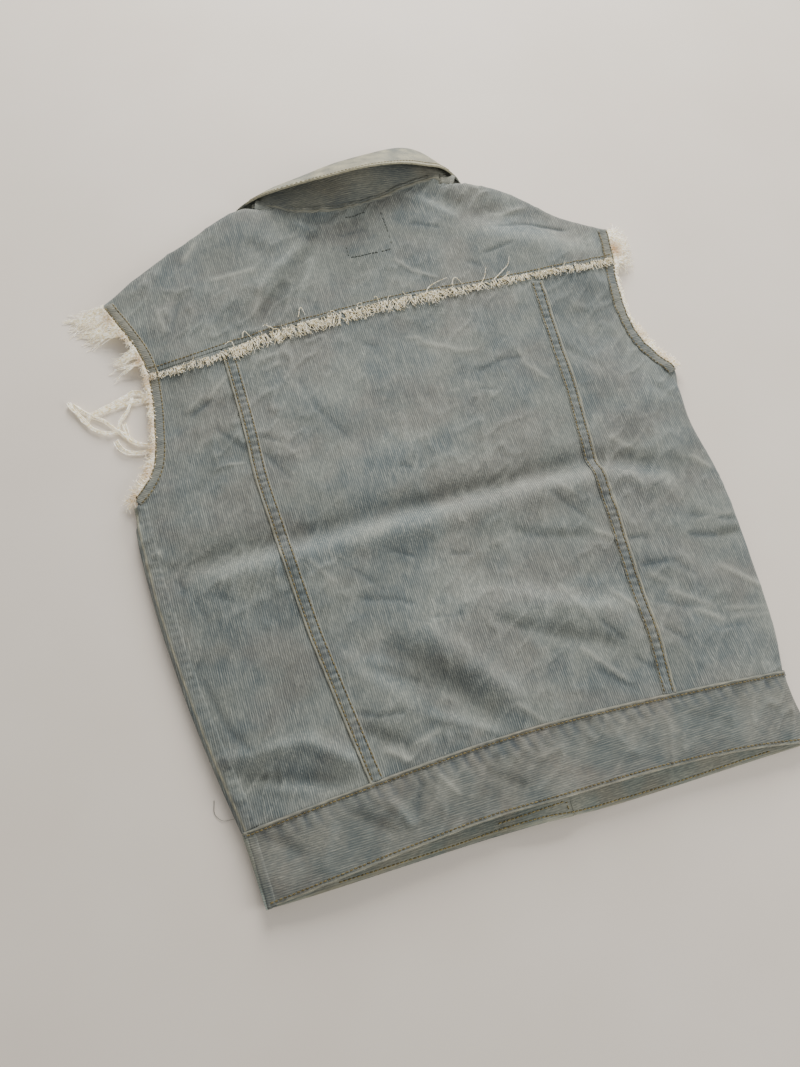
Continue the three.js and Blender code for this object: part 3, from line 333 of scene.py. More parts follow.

# %% [markdown]
# The vest was folded for storage, so two pressed lines cross the back, and it was then laid
# down by hand, which left soft diagonal folds. A cloth simulation would crease it too, but
# where it likes, and these creases make the vest recognisable. So they are listed, as a
# reader of the cloth would: where each one runs, how wide it is and how far it rises, or
# falls if negative. The solids hold the largest ones. Narrow ones are the sharp lines.

# %% The creases
Crease = namedtuple("Crease", "x1 y1 x2 y2 width rise")
CREASES = [Crease(*row) for row in (
    # the pressed fold across the back, sharp above and soft below
    (-222, -62, -60, -60, 9, -1.7), (-60, -60, 122, -58, 9, -1.8), (118, -57, 178, -74, 9, -1.5),
    (-210, -78, 0, -77, 10, 1.5), (0, -73, 135, -76, 10, 1.6), (135, -76, 185, -96, 10, 1.2),
    # below it, on the left
    (-215, -210, -150, -214, 6, 1.2), (-156, -212, -122, -240, 6, 1.4),
    (-214, -224, -130, -250, 6, -1.1), (-218, -152, -208, -192, 2.6, -0.5),
    (-209, -190, -193, -213, 2.6, -0.6), (-194, -212, -176, -190, 4, -0.4),
    (-196, -91, -182, -100, 2, -0.5), (-212, -86, -204, -114, 2.5, -0.4),
    (-240, -54, -228, -45, 3, 0.9), (-222, -70, -216, -84, 3, -0.6), (-232, -152, -216, -136, 3, -0.5),
    (-200, -232, -160, -250, 4, 0.6),
    # the middle of the lower back
    (-52, -156, -24, -190, 8, 0.9), (-24, -190, 4, -228, 8, 1.0), (-84, -160, -46, -196, 10, -1.1),
    (-48, -194, -14, -238, 10, -1.2), (-92, -178, -58, -201, 4, -0.6), (-118, -160, -84, -176, 6, 0.6),
    (-112, -170, -70, -214, 6, 0.6), (-66, -220, -18, -246, 4, 0.9), (-118, -204, -98, -212, 2.5, -0.7),
    (-98, -211, -80, -214, 2.2, -0.7), (-116, -216, -84, -240, 6, -1.1),
    (-104, -234, -86, -248, 3, 0.8), (-90, -98, -70, -122, 2, -0.55), (-91, -123, -60, -132, 2.2, -0.7),
    (-60, -133, -52, -137, 2, -0.5), (-42, -151, -18, -155, 2, -0.5), (-31, -24, -21, -29, 2, -0.7),
    (-58, -92, -40, -101, 2.2, -0.6), (-14, -107, 6, -111, 2, -0.5), (-120, -84, -104, -108, 2.4, 0.5),
    (-84, -238, -60, -233, 2.5, 0.7), (6, -165, 34, -182, 6, -1.1), (32, -181, 94, -210, 7, -1.2),
    (16, -146, 62, -168, 8, 0.9), (60, -168, 104, -186, 7, 1.0), (40, -100, 62, -112, 5, -0.7),
    (60, -111, 102, -121, 5, -0.8), (80, -77, 106, -110, 2.2, -0.6), (86, -72, 100, -86, 2, 0.6),
    (104, -118, 119, -128, 2.4, 0.7), (60, -150, 80, -190, 2, 0.5), (100, -168, 119, -191, 2.2, 0.8),
    (84, -188, 98, -209, 2.2, -0.7), (62, -204, 88, -238, 2.2, 0.7), (100, -222, 112, -236, 2.4, -0.7),
    (0, -230, 16, -249, 2.2, 0.6), (66, -222, 92, -246, 3, -0.5), (20, -108, 38, -104, 2, 0.4),
    # the right side panel
    (180, -141, 205, -148, 3, -1.0), (203, -147, 226, -148, 3.6, -1.2),
    (184, -125, 226, -138, 2.6, -0.8), (196, -131, 226, -133, 2.4, 0.6),
    (128, -131, 146, -135, 2.6, -0.8), (130, -155, 162, -159, 3.2, -0.8),
    (160, -161, 172, -174, 2.8, -0.6), (158, -198, 180, -214, 2.6, 0.8),
    (194, -171, 226, -199, 2.4, 0.9), (144, -179, 178, -203, 2.6, 0.7),
    (130, -184, 162, -200, 2.6, -0.7), (130, -205, 146, -223, 2.4, -0.7),
    (210, -76, 224, -92, 2.4, 0.8), (184, -205, 222, -214, 2, 0.6), (186, -213, 220, -219, 2, 0.5),
    (134, -162, 150, -176, 2.4, 0.6), (150, -60, 196, -22, 12, -0.8), (146, -44, 164, -60, 3, 0.7),
    (180, -96, 226, -64, 12, -0.7), (170, -218, 200, -222, 2, -0.5),
    # the upper back
    (-184, 61, -164, 71, 3, -0.8), (-168, 71, -146, 89, 2.4, 0.7), (-186, 66, -168, 78, 2.4, 0.5),
    (-116, 86, -100, 90, 2, 0.6), (-90, 72, -84, 46, 2.4, -0.5), (-84, 46, -64, 10, 2.4, -0.6),
    (-118, 18, -104, 0, 2, 0.6), (-134, 15, -116, -16, 2.2, -0.6), (-136, 31, -118, 20, 2.4, -0.6),
    (-166, 46, -147, 20, 2.4, -0.5), (-164, 11, -150, 9, 2, 0.6), (-196, -8, -170, 12, 4, -0.5),
    (-30, 91, -19, 85, 2, -0.6), (18, 80, 46, 66, 2.4, 0.7), (44, 65, 62, 62, 2.2, 0.5),
    (8, 88, 22, 84, 2, 0.5), (58, 41, 80, 47, 3, -0.6), (78, 47, 100, 46, 3, -0.6),
    (50, 27, 68, 21, 2.2, -0.5), (98, 56, 101, 36, 2.6, 0.6), (101, 37, 116, 18, 2.4, 0.6),
    (138, 48, 164, 18, 4, -0.6), (174, 104, 208, 76, 9, -0.7), (200, -4, 216, -22, 4, -0.5),
    # the yoke
    (-48, 204, -78, 183, 5, 1.2), (-76, 184, -104, 162, 5, 1.2), (-42, 213, -66, 178, 6, -1.2),
    (-64, 180, -112, 132, 8, -1.2), (-52, 184, -62, 160, 4, 0.7), (-61, 163, -80, 134, 4, 0.7),
    (-58, 224, -42, 212, 4, 0.8), (-100, 214, -84, 194, 8, -0.8), (-160, 206, -144, 224, 3, 0.8),
    (-142, 182, -100, 184, 2.6, 0.6), (-190, 166, -188, 142, 2.6, 0.6), (-168, 172, -182, 146, 3, -0.6),
    (-100, 166, -112, 140, 3, 0.6), (-206, 186, -180, 202, 4, 0.6), (-22, 200, 4, 203, 2.2, -0.5),
    (40, 238, 64, 220, 5, 0.8), (62, 221, 88, 196, 5, 1.0), (70, 232, 100, 208, 9, -1.0),
    (92, 196, 132, 200, 7, -0.8), (44, 199, 70, 188, 2.4, -0.7), (98, 153, 130, 158, 2.2, -0.7),
    (118, 178, 152, 176, 2.4, -0.7), (150, 176, 184, 161, 2.6, -0.9), (124, 190, 152, 193, 2.4, 0.6),
    (20, 166, 34, 150, 2.2, 0.6), (33, 151, 52, 139, 2.2, 0.7), (96, 186, 176, 150, 14, 1.0),
    (84, 150, 94, 140, 3, -0.6),
    # the waistband
    (-150, -274, -166, -300, 4, 0.8), (-138, -270, -110, -292, 5, -0.8),
    (-112, -266, -96, -290, 4, 0.9), (-84, -262, -96, -290, 3, -0.7), (-70, -262, -60, -280, 3, 0.6),
    (-196, -270, -176, -288, 4, -0.6), (-40, -268, -10, -290, 4, -0.5), (120, -272, 150, -286, 4, -0.4),
)]
print("creases:", len(CREASES))

# %% [markdown]
# The back also has broad paler and darker patches: painted light and shade where its folds
# face towards or away from the light, and a painted highlight where the collar's shadow
# falls on the yoke. Noise alone would put them anywhere. The table lists the largest
# ones: the middle, the half widths and how much paler each is, or darker if negative.

# %% Painted light and shade in broad patches
LightShadePatch = namedtuple("LightShadePatch", "x y wide tall paler")
LIGHT_AND_SHADE_PATCHES = [
    LightShadePatch(-125, 208, 38, 26, -0.6), LightShadePatch(-84, 150, 44, 18, -0.5), LightShadePatch(60, 190, 60, 16, -0.5),
    LightShadePatch(150, 172, 46, 12, 0.75), LightShadePatch(196, 150, 22, 16, 0.6), LightShadePatch(180, 92, 44, 22, -0.5),
    LightShadePatch(206, 52, 18, 26, -0.4), LightShadePatch(-46, 62, 60, 20, 0.3), LightShadePatch(-172, 52, 24, 40, -0.3),
    LightShadePatch(190, -16, 24, 14, 0.8), LightShadePatch(-40, -8, 50, 16, 0.6), LightShadePatch(-22, 217, 36, 10, 0.9),
    LightShadePatch(-20, -70, 120, 9, 0.75), LightShadePatch(-22, -146, 46, 22, 0.7), LightShadePatch(40, -160, 36, 16, 0.4),
    LightShadePatch(190, -76, 24, 14, -0.6), LightShadePatch(-186, -204, 18, 10, -0.5), LightShadePatch(-150, -130, 20, 22, -0.3),
    LightShadePatch(92, -190, 40, 24, 0.3), LightShadePatch(-4, -212, 18, 12, 0.6), LightShadePatch(-48, -196, 26, 24, -0.4),
    LightShadePatch(-38, -283, 36, 12, -0.4), LightShadePatch(-110, -276, 22, 12, -0.3), LightShadePatch(-190, -286, 22, 18, 0.35),
]
print("paler and darker patches:", len(LIGHT_AND_SHADE_PATCHES))

# %% [markdown]
# A crease is a soft ridge along its line that fades at both ends. Between the creases the
# cloth is never flat: small crumples of a centimetre or two cover it, drawn with smooth
# noise, as uneven as they are on cloth that has been handled. Sculpting could do the same by
# eye. A formula for each kind lets every piece of the vest share one relief, so a crease
# runs on over the seams that it crosses.


# %% How the cloth is shaped
NARROW = 3.5  # creases narrower than this are sharp, and rubbed pale or still dark
STEEP = 2.6  # how fast a sharp crease falls away from its line
CREST = 0.3  # how round it is along the line: 0 is a sharp edge
SHARP_GAIN, BROAD_GAIN = 1.7, 2.0  # cloth is rucked further than it looks from above
SWELL_MM, BIAS_FOLD_MM, COME_AND_GO_MM, FINE_MM = (36, 27), (30, 15), 60, (8, 7)
SWELL_RISE, BIAS_FOLD_RISE, FINE_RISE = 1.4, 1.7, 0.25
BACK_RISES_FROM, BACK_RISES_TO = 5.5, 9.5  # lower points belong to the front or a side fold
BAND_GATHER_MM, SEAM_GATHER_MM = 9.5, 6.5  # one puff of a gathered seam
HEM_LIFTS = [(0, 34, 5.0), (-206, 20, 4.0), (206, 34, 4.5)]  # middle, width and height


def in_mm(points):
    """Across and up the vest, in millimetres, of an array of points in metres."""
    return (points[:, 0] - ORIGIN.x) / MM, (points[:, 1] - ORIGIN.y) / MM


def smooth_step(low, high, value):
    """0 below low and 1 above high, with a smooth rise between."""
    share = np.clip((value - low) / (high - low), 0, 1)
    return share * share * (3 - 2 * share)


def crease_height(x, y, creases):
    """Height in millimetres that a list of creases gives at each point."""
    height = np.zeros_like(x)
    for c in creases:
        dx, dy = c.x2 - c.x1, c.y2 - c.y1
        along = ((x - c.x1) * dx + (y - c.y1) * dy) / (dx * dx + dy * dy)
        near = np.clip(along, 0, 1)
        away = np.hypot(x - c.x1 - near * dx, y - c.y1 - near * dy) / c.width
        fade = smooth_step(-0.15, 0.2, along) * smooth_step(1.15, 0.8, along)
        if c.width < NARROW:
            profile = SHARP_GAIN * np.exp(CREST - np.sqrt(away * away * STEEP + CREST * CREST))
        else:
            profile = BROAD_GAIN * np.exp(-away * away)
        height += c.rise * fade * profile
    return height


def crumple(x, y):
    """Small uneven crumples: height in millimetres at each point.

    Broad swells, ridged folds on the cloth's bias that come and go, and a fine unevenness.
    """
    heights = []
    for px, py in zip(x, y):
        swell = noise.noise(Vector((px / SWELL_MM[0], py / SWELL_MM[1], 3.1)))
        bias = px * 0.8 + py * 0.6
        ridge = 1 - 3.2 * abs(noise.noise(Vector((
            bias / BIAS_FOLD_MM[0], (py - px) / BIAS_FOLD_MM[1], 7.7))))
        where = 0.55 + 0.9 * noise.noise(Vector((px / COME_AND_GO_MM, py / COME_AND_GO_MM, 1.3)))
        fine = noise.noise(Vector((px / FINE_MM[0], py / FINE_MM[1], 5.2)))
        heights.append(SWELL_RISE * swell + FINE_RISE * fine
                       + BIAS_FOLD_RISE * max(where, 0) * max(ridge, 0) ** 2)
    return np.array(heights)


def shape_back(points):
    """Moves the top layer's points, and returns masks of worn crests and painted light and shade."""
    x, y = in_mm(points)
    share = smooth_step(BACK_RISES_FROM, BACK_RISES_TO, points[:, 2] / MM)
    sharp = crease_height(x, y, [c for c in CREASES if c.width < NARROW])
    broad = crease_height(x, y, [c for c in CREASES if c.width >= NARROW])
    small = crumple(x, y)
    points[:, 2] += share * (sharp + broad + small) * MM
    # Fold paint: paler on the crests of sharp creases and crumples, worn and a painted highlight,
    # darker in their troughs as painted shade
    fold = np.clip((0.75 * sharp + 0.1 * small) * share, -1, 1)
    # painted light and shade, from the patch table
    washed = sum(p.paler * np.exp(-((x - p.x) / p.wide) ** 2 - ((y - p.y) / p.tall) ** 2)
                 for p in LIGHT_AND_SHADE_PATCHES)
    # Broad creases and crumples: paler crests, worn and a painted highlight, darker troughs as painted
    # shade, plus the patches
    wear_and_shade = np.clip((0.28 * broad + 0.2 * small + washed) * share, -1, 1)
    return fold, wear_and_shade


def lift_front_hem(points):
    """Lifts the front's hem off the table in a few places, as a worn hem curls."""
    x, y = in_mm(points)
    lift = np.zeros_like(x)
    for middle, width, height in HEM_LIFTS:
        lift += height * np.exp(-((x - middle) / width) ** 2)
    low = 1 - smooth_step(BACK_RISES_FROM, BACK_RISES_TO, points[:, 2] / MM)
    points[:, 2] += lift * low * smooth_step(-278, -318, y) * MM


def gather(distance, pitch, seed):
    """The puffs that a seam's thread draws up, unevenly spaced, from -1 to 1."""
    shift = 2.4 * noise.noise(Vector((distance / 24, seed, 0.4)))
    size = 0.75 + 0.6 * noise.noise(Vector((distance / 15, seed, 5.1)))
    return size * math.sin(math.tau * distance / pitch + shift)


def gather_band(points):
    """Puckers in the waistband under its seam, and how far each point lies in a dip."""
    x, y = in_mm(points)
    puffs = np.array([gather(along, BAND_GATHER_MM, 8.4) for along in x + 0.3 * y])
    points[:, 2] += 0.4 * smooth_step(-276, -262, y) * puffs * MM
    return np.maximum(-puffs, 0)


print("a crease narrower than", NARROW, "mm is sharp")

# %% [markdown]
# Each sewn piece starts as a copy of its solid. The copy's loose triangles are merged, put
# together into quads and given a small bevel round the rim, because cloth has no sharp
# edges. A Subdivision Surface then gives enough points for the creases. This keeps every
# piece on its own solid's form, folds and seams included.

# %% Refine a solid into cloth
RIM_ANGLE = math.radians(60)
RIM_BEVEL = 0.35 * MM
SAME_PLANE, NEAR_SQUARE = math.radians(40), math.radians(70)  # triangles that make one quad


def link(name, mesh, material):
    """A finished piece that goes with the vest's one body."""
    mesh.name = name
    for polygon in mesh.polygons:
        polygon.use_smooth = True
    mesh.materials.clear()
    mesh.materials.append(material)
    piece = bpy.data.objects.new(name, mesh)
    bpy.context.collection.objects.link(piece)
    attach(piece, "root")
    return piece


def settled(source, name):
    """The mesh of an object with its modifiers applied. The object itself goes."""
    depsgraph = bpy.context.evaluated_depsgraph_get()
    mesh = bpy.data.meshes.new_from_object(source.evaluated_get(depsgraph))
    bpy.data.objects.remove(source)
    mesh.name = name
    return mesh


def refined(node, levels):
    """A dense, soft-edged copy of a node's wall."""
    bm = bmesh.new()
    bm.from_mesh(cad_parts[node].data)
    bmesh.ops.remove_doubles(bm, verts=bm.verts, dist=0.01 * MM)
    bmesh.ops.join_triangles(bm, faces=bm.faces, angle_face_threshold=SAME_PLANE,
                             angle_shape_threshold=NEAR_SQUARE)
    rim = [e for e in bm.edges if len(e.link_faces) == 2 and e.calc_face_angle() > RIM_ANGLE]
    bmesh.ops.bevel(bm, geom=rim, offset=RIM_BEVEL, affect="EDGES", segments=1,
                    profile=0.5, material=-1, clamp_overlap=True)
    mesh = bpy.data.meshes.new(node)
    bm.to_mesh(mesh)
    bm.free()
    rough = bpy.data.objects.new(node, mesh)
    bpy.context.collection.objects.link(rough)
    soften = rough.modifiers.new("soften", "SUBSURF")
    soften.levels = soften.render_levels = levels
    return settled(rough, node)


def points_of(mesh):
    """A mesh's points as an array."""
    points = np.empty(len(mesh.vertices) * 3)
    mesh.vertices.foreach_get("co", points)
    return points.reshape(-1, 3)


def paint(mesh, name, values):
    """Stores a mask on the mesh's points."""
    mask = mesh.attributes.new(name, "FLOAT", "POINT")
    mask.data.foreach_set("value", np.asarray(values, dtype=np.float32))


print("a rim is rounded by", round(RIM_BEVEL / MM, 2), "mm")

# %% Every piece of cloth
# Its width, length and area are those of the flat piece as cut, in metres
Cloth = namedtuple("Cloth", "node levels material slot width length area rests_on")
CLOTHS = [
    Cloth("back_yoke", 3, BODY_DENIM, "denim", 0.47, 0.150, 0.050, ["front_left"]),
    Cloth("centre_back", 3, BODY_DENIM, "denim", 0.29, 0.385, 0.103, ["front_left"]),
    Cloth("side_back_left", 3, BODY_DENIM, "denim", 0.13, 0.380, 0.033, ["front_left"]),
    Cloth("side_back_right", 3, BODY_DENIM, "denim", 0.13, 0.390, 0.040, ["front_right"]),
    Cloth("front_left", 2, BODY_DENIM, "denim", 0.25, 0.510, 0.105, []),
    Cloth("front_right", 2, BODY_DENIM, "denim", 0.22, 0.495, 0.092, []),
    Cloth("placket_left", 2, BODY_DENIM, "worn_denim", 0.029, 0.434, 0.0125, ["placket_right"]),
    Cloth("placket_right", 2, BODY_DENIM, "worn_denim", 0.029, 0.434, 0.0125, ["button_1"]),
    Cloth("waistband_back", 3, BAND_DENIM, "worn_denim", 0.44, 0.060, 0.023,
          ["waistband_front_left"]),
    Cloth("waistband_front_left", 3, FRONT_DENIM, "worn_denim", 0.25, 0.054, 0.0135, []),
    Cloth("waistband_front_right", 3, FRONT_DENIM, "worn_denim", 0.23, 0.054, 0.0115, []),
    Cloth("collar", 2, RUBBED_DENIM, "collar_denim", 0.50, 0.090, 0.034, ["front_left"]),
]
BACK_PIECES = ("back_yoke", "centre_back", "side_back_left", "side_back_right",
               "waistband_back", "front_left", "waistband_front_left")
meshes = {}
for cloth in CLOTHS:
    mesh = refined(cloth.node, cloth.levels)
    points = points_of(mesh)
    if cloth.node in BACK_PIECES:
        fold, wear_and_shade = shape_back(points)
        paint(mesh, "fold", fold)
        paint(mesh, "wear_and_shade", wear_and_shade)
    if cloth.node == "waistband_back":
        band_dips = gather_band(points)
    lift_front_hem(points)
    mesh.vertices.foreach_set("co", points.ravel())
    meshes[cloth.node] = mesh
print("refined faces:", {name: len(mesh.polygons) for name, mesh in meshes.items()})

# %% [markdown]
# Seams, stitches and fray lie on the cloth, so they need to know how high it is at a place.
# A tree of the back's faces answers that: a ray falls on it from above. Four more rays close
# by keep a place in a seam's gap from being missed.


# %% Where the cloth is
def tree_over(mesh_list):
    """A search tree of several meshes' faces."""
    corners, faces = [], []
    for mesh in mesh_list:
        start = len(corners)
        corners.extend(v.co.copy() for v in mesh.vertices)
        faces.extend([start + i for i in p.vertices] for p in mesh.polygons)
    return BVHTree.FromPolygons(corners, faces)


TOP_NODES = ("back_yoke", "centre_back", "side_back_left", "side_back_right", "waistband_back",
             "front_left", "front_right", "waistband_front_left", "waistband_front_right")
surface = tree_over([meshes[name] for name in TOP_NODES])
SIDESTEP_MM = 1.2
CURVE_SAMPLES = 600


def cloth_height(x, y):
    """The top of the cloth at a place on the vest, in millimetres."""
    heights = [0.0]
    for dx, dy in ((0, 0), (1, 0), (-1, 0), (0, 1), (0, -1)):
        start = place(x + dx * SIDESTEP_MM, y + dy * SIDESTEP_MM, 100)
        hit = surface.ray_cast(start, Vector((0, 0, -1)))[0]
        if hit is not None:
            heights.append(hit.z / MM)
    return max(heights)


def curve_through(points, step):
    """Evenly spaced places along a smooth curve through a few measured ones."""
    p = np.array(points, float)
    chord = np.concatenate([[0], np.cumsum(np.hypot(*np.diff(p, axis=0).T))])
    slope = np.gradient(p, chord, axis=0)
    at = np.linspace(0, chord[-1], CURVE_SAMPLES)
    i = np.clip(np.searchsorted(chord, at, side="right") - 1, 0, len(p) - 2)
    span = (chord[i + 1] - chord[i])[:, None]
    t = ((at - chord[i]) / span[:, 0])[:, None]
    curve = ((2 * t**3 - 3 * t**2 + 1) * p[i] + (t**3 - 2 * t**2 + t) * span * slope[i]
             + (3 * t**2 - 2 * t**3) * p[i + 1] + (t**3 - t**2) * span * slope[i + 1])
    run = np.concatenate([[0], np.cumsum(np.hypot(*np.diff(curve, axis=0).T))])
    count = max(2, round(run[-1] / step) + 1)
    even = np.linspace(0, run[-1], count)
    return np.column_stack([np.interp(even, run, curve[:, k]) for k in (0, 1)])


def directions(line):
    """The way that a line runs at each of its places."""
    way = np.gradient(line, axis=0)
    return way / np.maximum(np.hypot(way[:, 0], way[:, 1])[:, None], 1e-9)


def beside(line, distance):
    """The line moved to its right by a distance in millimetres."""
    way = directions(line)
    return line + distance * np.column_stack([way[:, 1], -way[:, 0]])


print("the cloth's top at the measuring point:", round(cloth_height(0, 0), 1), "mm")

# %% Seam lines
# In millimetres on the vest, each listed so that its seam lies on its right
PRINCESS_LEFT = [(-119.6, -255), (-125.5, -213), (-130, -179), (-135, -141), (-138, -107),
                 (-142.6, -43), (-145, -5), (-144.3, 33), (-145.8, 112)]
PRINCESS_RIGHT = [(142.5, 114), (140.4, 80), (138.3, 46), (135, -5), (130.6, -43), (130, -98),
                  (127.7, -141), (125.5, -184), (124.7, -218), (120.4, -256)]
SIDE_SEAM_LEFT = [(-210, -261), (-216.9, -228), (-223.1, -194), (-228.4, -160), (-232.7, -126),
                  (-236.2, -93), (-238.3, -59), (-239, -28), (-239, -3)]
ARMHOLE_LEFT = [(-241, 3), (-232.2, 10), (-221, 25.8), (-216, 42.7), (-213.6, 59.6),
                (-211.2, 76.6), (-209.9, 93.5), (-209.3, 110.3), (-212.7, 130.6), (-219.4, 148.3),
                (-226, 164), (-232.2, 178)]
ARMHOLE_RIGHT = [(221, 154), (219.2, 138.5), (217, 124), (212.5, 106), (210, 88.4),
                 (208.2, 70.7), (209.3, 53), (212.4, 35.6), (220.3, 19), (226, 10.5), (229.5, 3)]
YOKE_EDGE = [(-209, 110.5), (-172, 112), (-130, 117), (-70, 122), (0, 126), (40, 125.3),
             (83, 123), (168, 122.7), (217, 124)]
WAIST_SEAM = [(-214, -262), (-120, -255), (0, -250.4), (120, -256.4), (213, -264.5)]
BACK_HEM = [(-208, -313.7), (-100, -305), (-40, -302), (0, -303), (100, -305.7), (160, -311),
            (208, -319)]
NECK_SEAM = [(-88, 253.4), (-78.7, 250.4), (-68, 244), (-55, 235.5), (-36, 231), (0, 228.3),
             (15, 230.4), (36, 234.3), (57, 239.4), (80, 242.6), (90, 241.5), (97, 238.2)]
NECK_ENDS = [[(-85, 252.4), (-78.7, 250.4), (-64, 242)], [(76, 242.4), (90, 241.5), (99, 237)]]
BAND_SIDE = [(-205.6, -314), (-207, -290), (-209, -263)]
FRONT_HEM = [(-205, -315.5), (0, -315.5), (20, -318), (60, -320), (205, -320)]
FRONT_HEM_INSIDE = [(-160, -312.3), (-80, -312.3), (0, -312.3), (20, -315), (60, -317),
                    (180, -317)]
FRONT_LAP_END = [(14, -314), (14, -304)]
FRONT_LAP_INNER = [(-40, -307), (14, -306)]
LABEL_SIDES = [[(22, 218), (22.5, 200), (22, 176)], [(22, 176), (0, 175.5), (-18, 176.5)],
               [(-18, 176), (-17.5, 190)], [(-12, 218), (10, 219)]]
# The collar's free edge, with its height
COLLAR_FREE_EDGE = [
    (-91, 258, 9), (-79, 256.5, 16.5), (-66, 251.5, 25), (-40, 243.8, 38.4), (-20, 240, 44),
    (0, 237.5, 49.5), (20, 240.9, 46), (40, 243.7, 41), (60, 247.1, 32.4), (76, 247.3, 25),
    (89, 250, 18), (101, 246, 10.5),
]
print("the yoke's edge is", round(len(curve_through(YOKE_EDGE, 1.0))), "mm long")

# %% [markdown]
# A felled seam folds one panel's edge over the other's and stitches it down twice. On the
# real vest it is a raised ribbon, 10 mm wide, with a hard worn rim, two stitched grooves and
# little puffs between them where the thread drew the cloth in. A bump in the material would
# do from far off, but the rim catches the light, so it is modelled. A ribbon starts as a flat
# grid, long and narrow, and each of its points is put on the cloth and lifted by the seam's
# cross-section. The neck, the waist and the turned armholes have sections of their own.

# %% Felled seams
RIBBON_STEP = 1.1
HANG_LIMIT = 3.5  # a ribbon that passes a fold's edge hangs no lower than this
RIBBON_WALL = 0.5 * MM
# One point of a cross-section: its place and height, its share of a puff and how worn it is
Rise = namedtuple("Rise", "across lift puff rim")
FELLED = [
    Rise(-0.6, -0.4, 0, 0.1), Rise(-0.2, 0.9, 0, 0.4), Rise(0.6, 1.35, 0, 0.6),
    Rise(1.4, 1.1, 0, 0.2), Rise(2.3, 0.45, 0.1, 0), Rise(3.1, 0.75, 0.5, 0),
    Rise(4.6, 0.95, 1, 0), Rise(6.2, 1.0, 1, 0), Rise(7.8, 0.9, 0.9, 0), Rise(8.9, 0.4, 0.3, 0),
    Rise(9.6, 0.65, 0.1, 0.2), Rise(10.3, 0.45, 0, 0.15), Rise(10.8, -0.4, 0, 0),
]
SIDE = [
    Rise(-3.2, -0.8, 0, 0.2), Rise(-2.4, 0.2, 0, 0.6), Rise(-1.6, 0.5, 0, 0.7),
    Rise(-0.8, 0.6, 0, 0.2), Rise(0.4, 0.6, 0.1, 0), Rise(2.0, 0.5, 0.3, 0),
    Rise(4.5, 0.4, 0.5, 0), Rise(6.6, 0.3, 0.4, 0), Rise(7.6, 0.15, 0, 0), Rise(8.4, -0.4, 0, 0),
]
TURNED = [
    Rise(-0.4, -0.4, 0, 0.5), Rise(0.0, 0.9, 0, 0.6), Rise(0.8, 0.6, 0, 0.3),
    Rise(1.6, 0.95, 0.3, 0), Rise(3.4, 1.1, 0.5, 0), Rise(5.4, 1.1, 0.5, 0),
    Rise(7.0, 0.85, 0.2, 0), Rise(7.8, 0.5, 0, 0), Rise(8.5, 0.6, 0, 0.1), Rise(9.0, -0.4, 0, 0),
]
RIDGE = [
    Rise(-1.1, -0.3, 0, 0), Rise(-0.7, 0.7, 0, 0), Rise(-0.1, 1.1, 0, 0.35),
    Rise(0.5, 1.1, 0, 0.4), Rise(1.1, 0.5, 0, 0.1), Rise(2.0, 0.1, 0.4, 0),
    Rise(2.8, 0.3, 0.6, 0), Rise(3.6, -0.3, 0.4, 0),
]
NECK = [
    Rise(-4.0, -0.6, 0, 0), Rise(-3.4, 0.9, 0.6, 0), Rise(-2.2, 0.8, 0.4, 0),
    Rise(-1.2, 0.2, 0, 0), Rise(-0.6, 0.9, 0, 0.5), Rise(0.2, 0.8, 0, 0.3),
    Rise(1.0, 0.4, 0, 0), Rise(1.8, -0.4, 0, 0),
]
# The facing is the strip inside the neck that closes the seam's two ends
FACING = [
    Rise(-8.0, -4.0, 0, 0), Rise(-5.0, -2.2, 0, 0), Rise(-2.0, -1.0, 0, 0),
    Rise(1.5, -0.7, 0, 0), Rise(4.0, -1.0, 0, 0), Rise(6.0, -1.6, 0, 0),
]
# The bridge is the band's own fold at the left side
BRIDGE = [
    Rise(-3.4, -0.8, 0, 0), Rise(-2.6, 0.1, 0, 0), Rise(-1.2, 0.35, 0, 0.08),
    Rise(0, 0.4, 0, 0.08), Rise(1.4, 0.4, 0, 0), Rise(2.8, 0.25, 0, 0), Rise(3.8, -0.4, 0, 0),
]


def ribbon(name, line, section, seed, puff_height, material, sampled_from=-math.inf):
    """A narrow raised strip along a line, with a cross-section.

    Where part of it crosses a gap, the cloth's height is taken sampled_from the line.
    """
    bm = bmesh.new()
    count = len(line)
    bmesh.ops.create_grid(bm, x_segments=count - 1, y_segments=len(section) - 1, size=1)
    rim = bm.verts.layers.float.new("edge")
    pucker = bm.verts.layers.float.new("pucker")
    edges = [beside(line, rise.across) for rise in section]
    feet = [beside(line, max(rise.across, sampled_from)) for rise in section]
    middles = [cloth_height(x, y) for x, y in beside(line, max(section[-1].across / 2, 0))]
    for vert in bm.verts:
        i = round((vert.co.x + 1) / 2 * (count - 1))
        j = round((vert.co.y + 1) / 2 * (len(section) - 1))
        rise = section[j]
        x, y = edges[j][i]
        distance = i * RIBBON_STEP
        base = max(cloth_height(*feet[j][i]), middles[i] - HANG_LIMIT)
        wave = gather(distance, SEAM_GATHER_MM, seed)
        vert[rim] = rise.rim * (0.7 + 0.7 * noise.noise(Vector((distance / 9, seed, j))))
        vert[pucker] = rise.puff * max(-wave, 0)
        vert.co = place(x, y, base + rise.lift + wave * rise.puff * puff_height)
    bm.normal_update()
    if sum(face.normal.z for face in bm.faces) < 0:
        bmesh.ops.reverse_faces(bm, faces=bm.faces)
    mesh = bpy.data.meshes.new(name)
    bm.to_mesh(mesh)
    bm.free()
    strip = bpy.data.objects.new(name, mesh)
    bpy.context.collection.objects.link(strip)
    wall = strip.modifiers.new("wall", "SOLIDIFY")
    wall.thickness = RIBBON_WALL
    wall.offset = -1
    return link(name, settled(strip, name), material)


print("a felled seam is", FELLED[-1].across - FELLED[0].across, "mm wide")

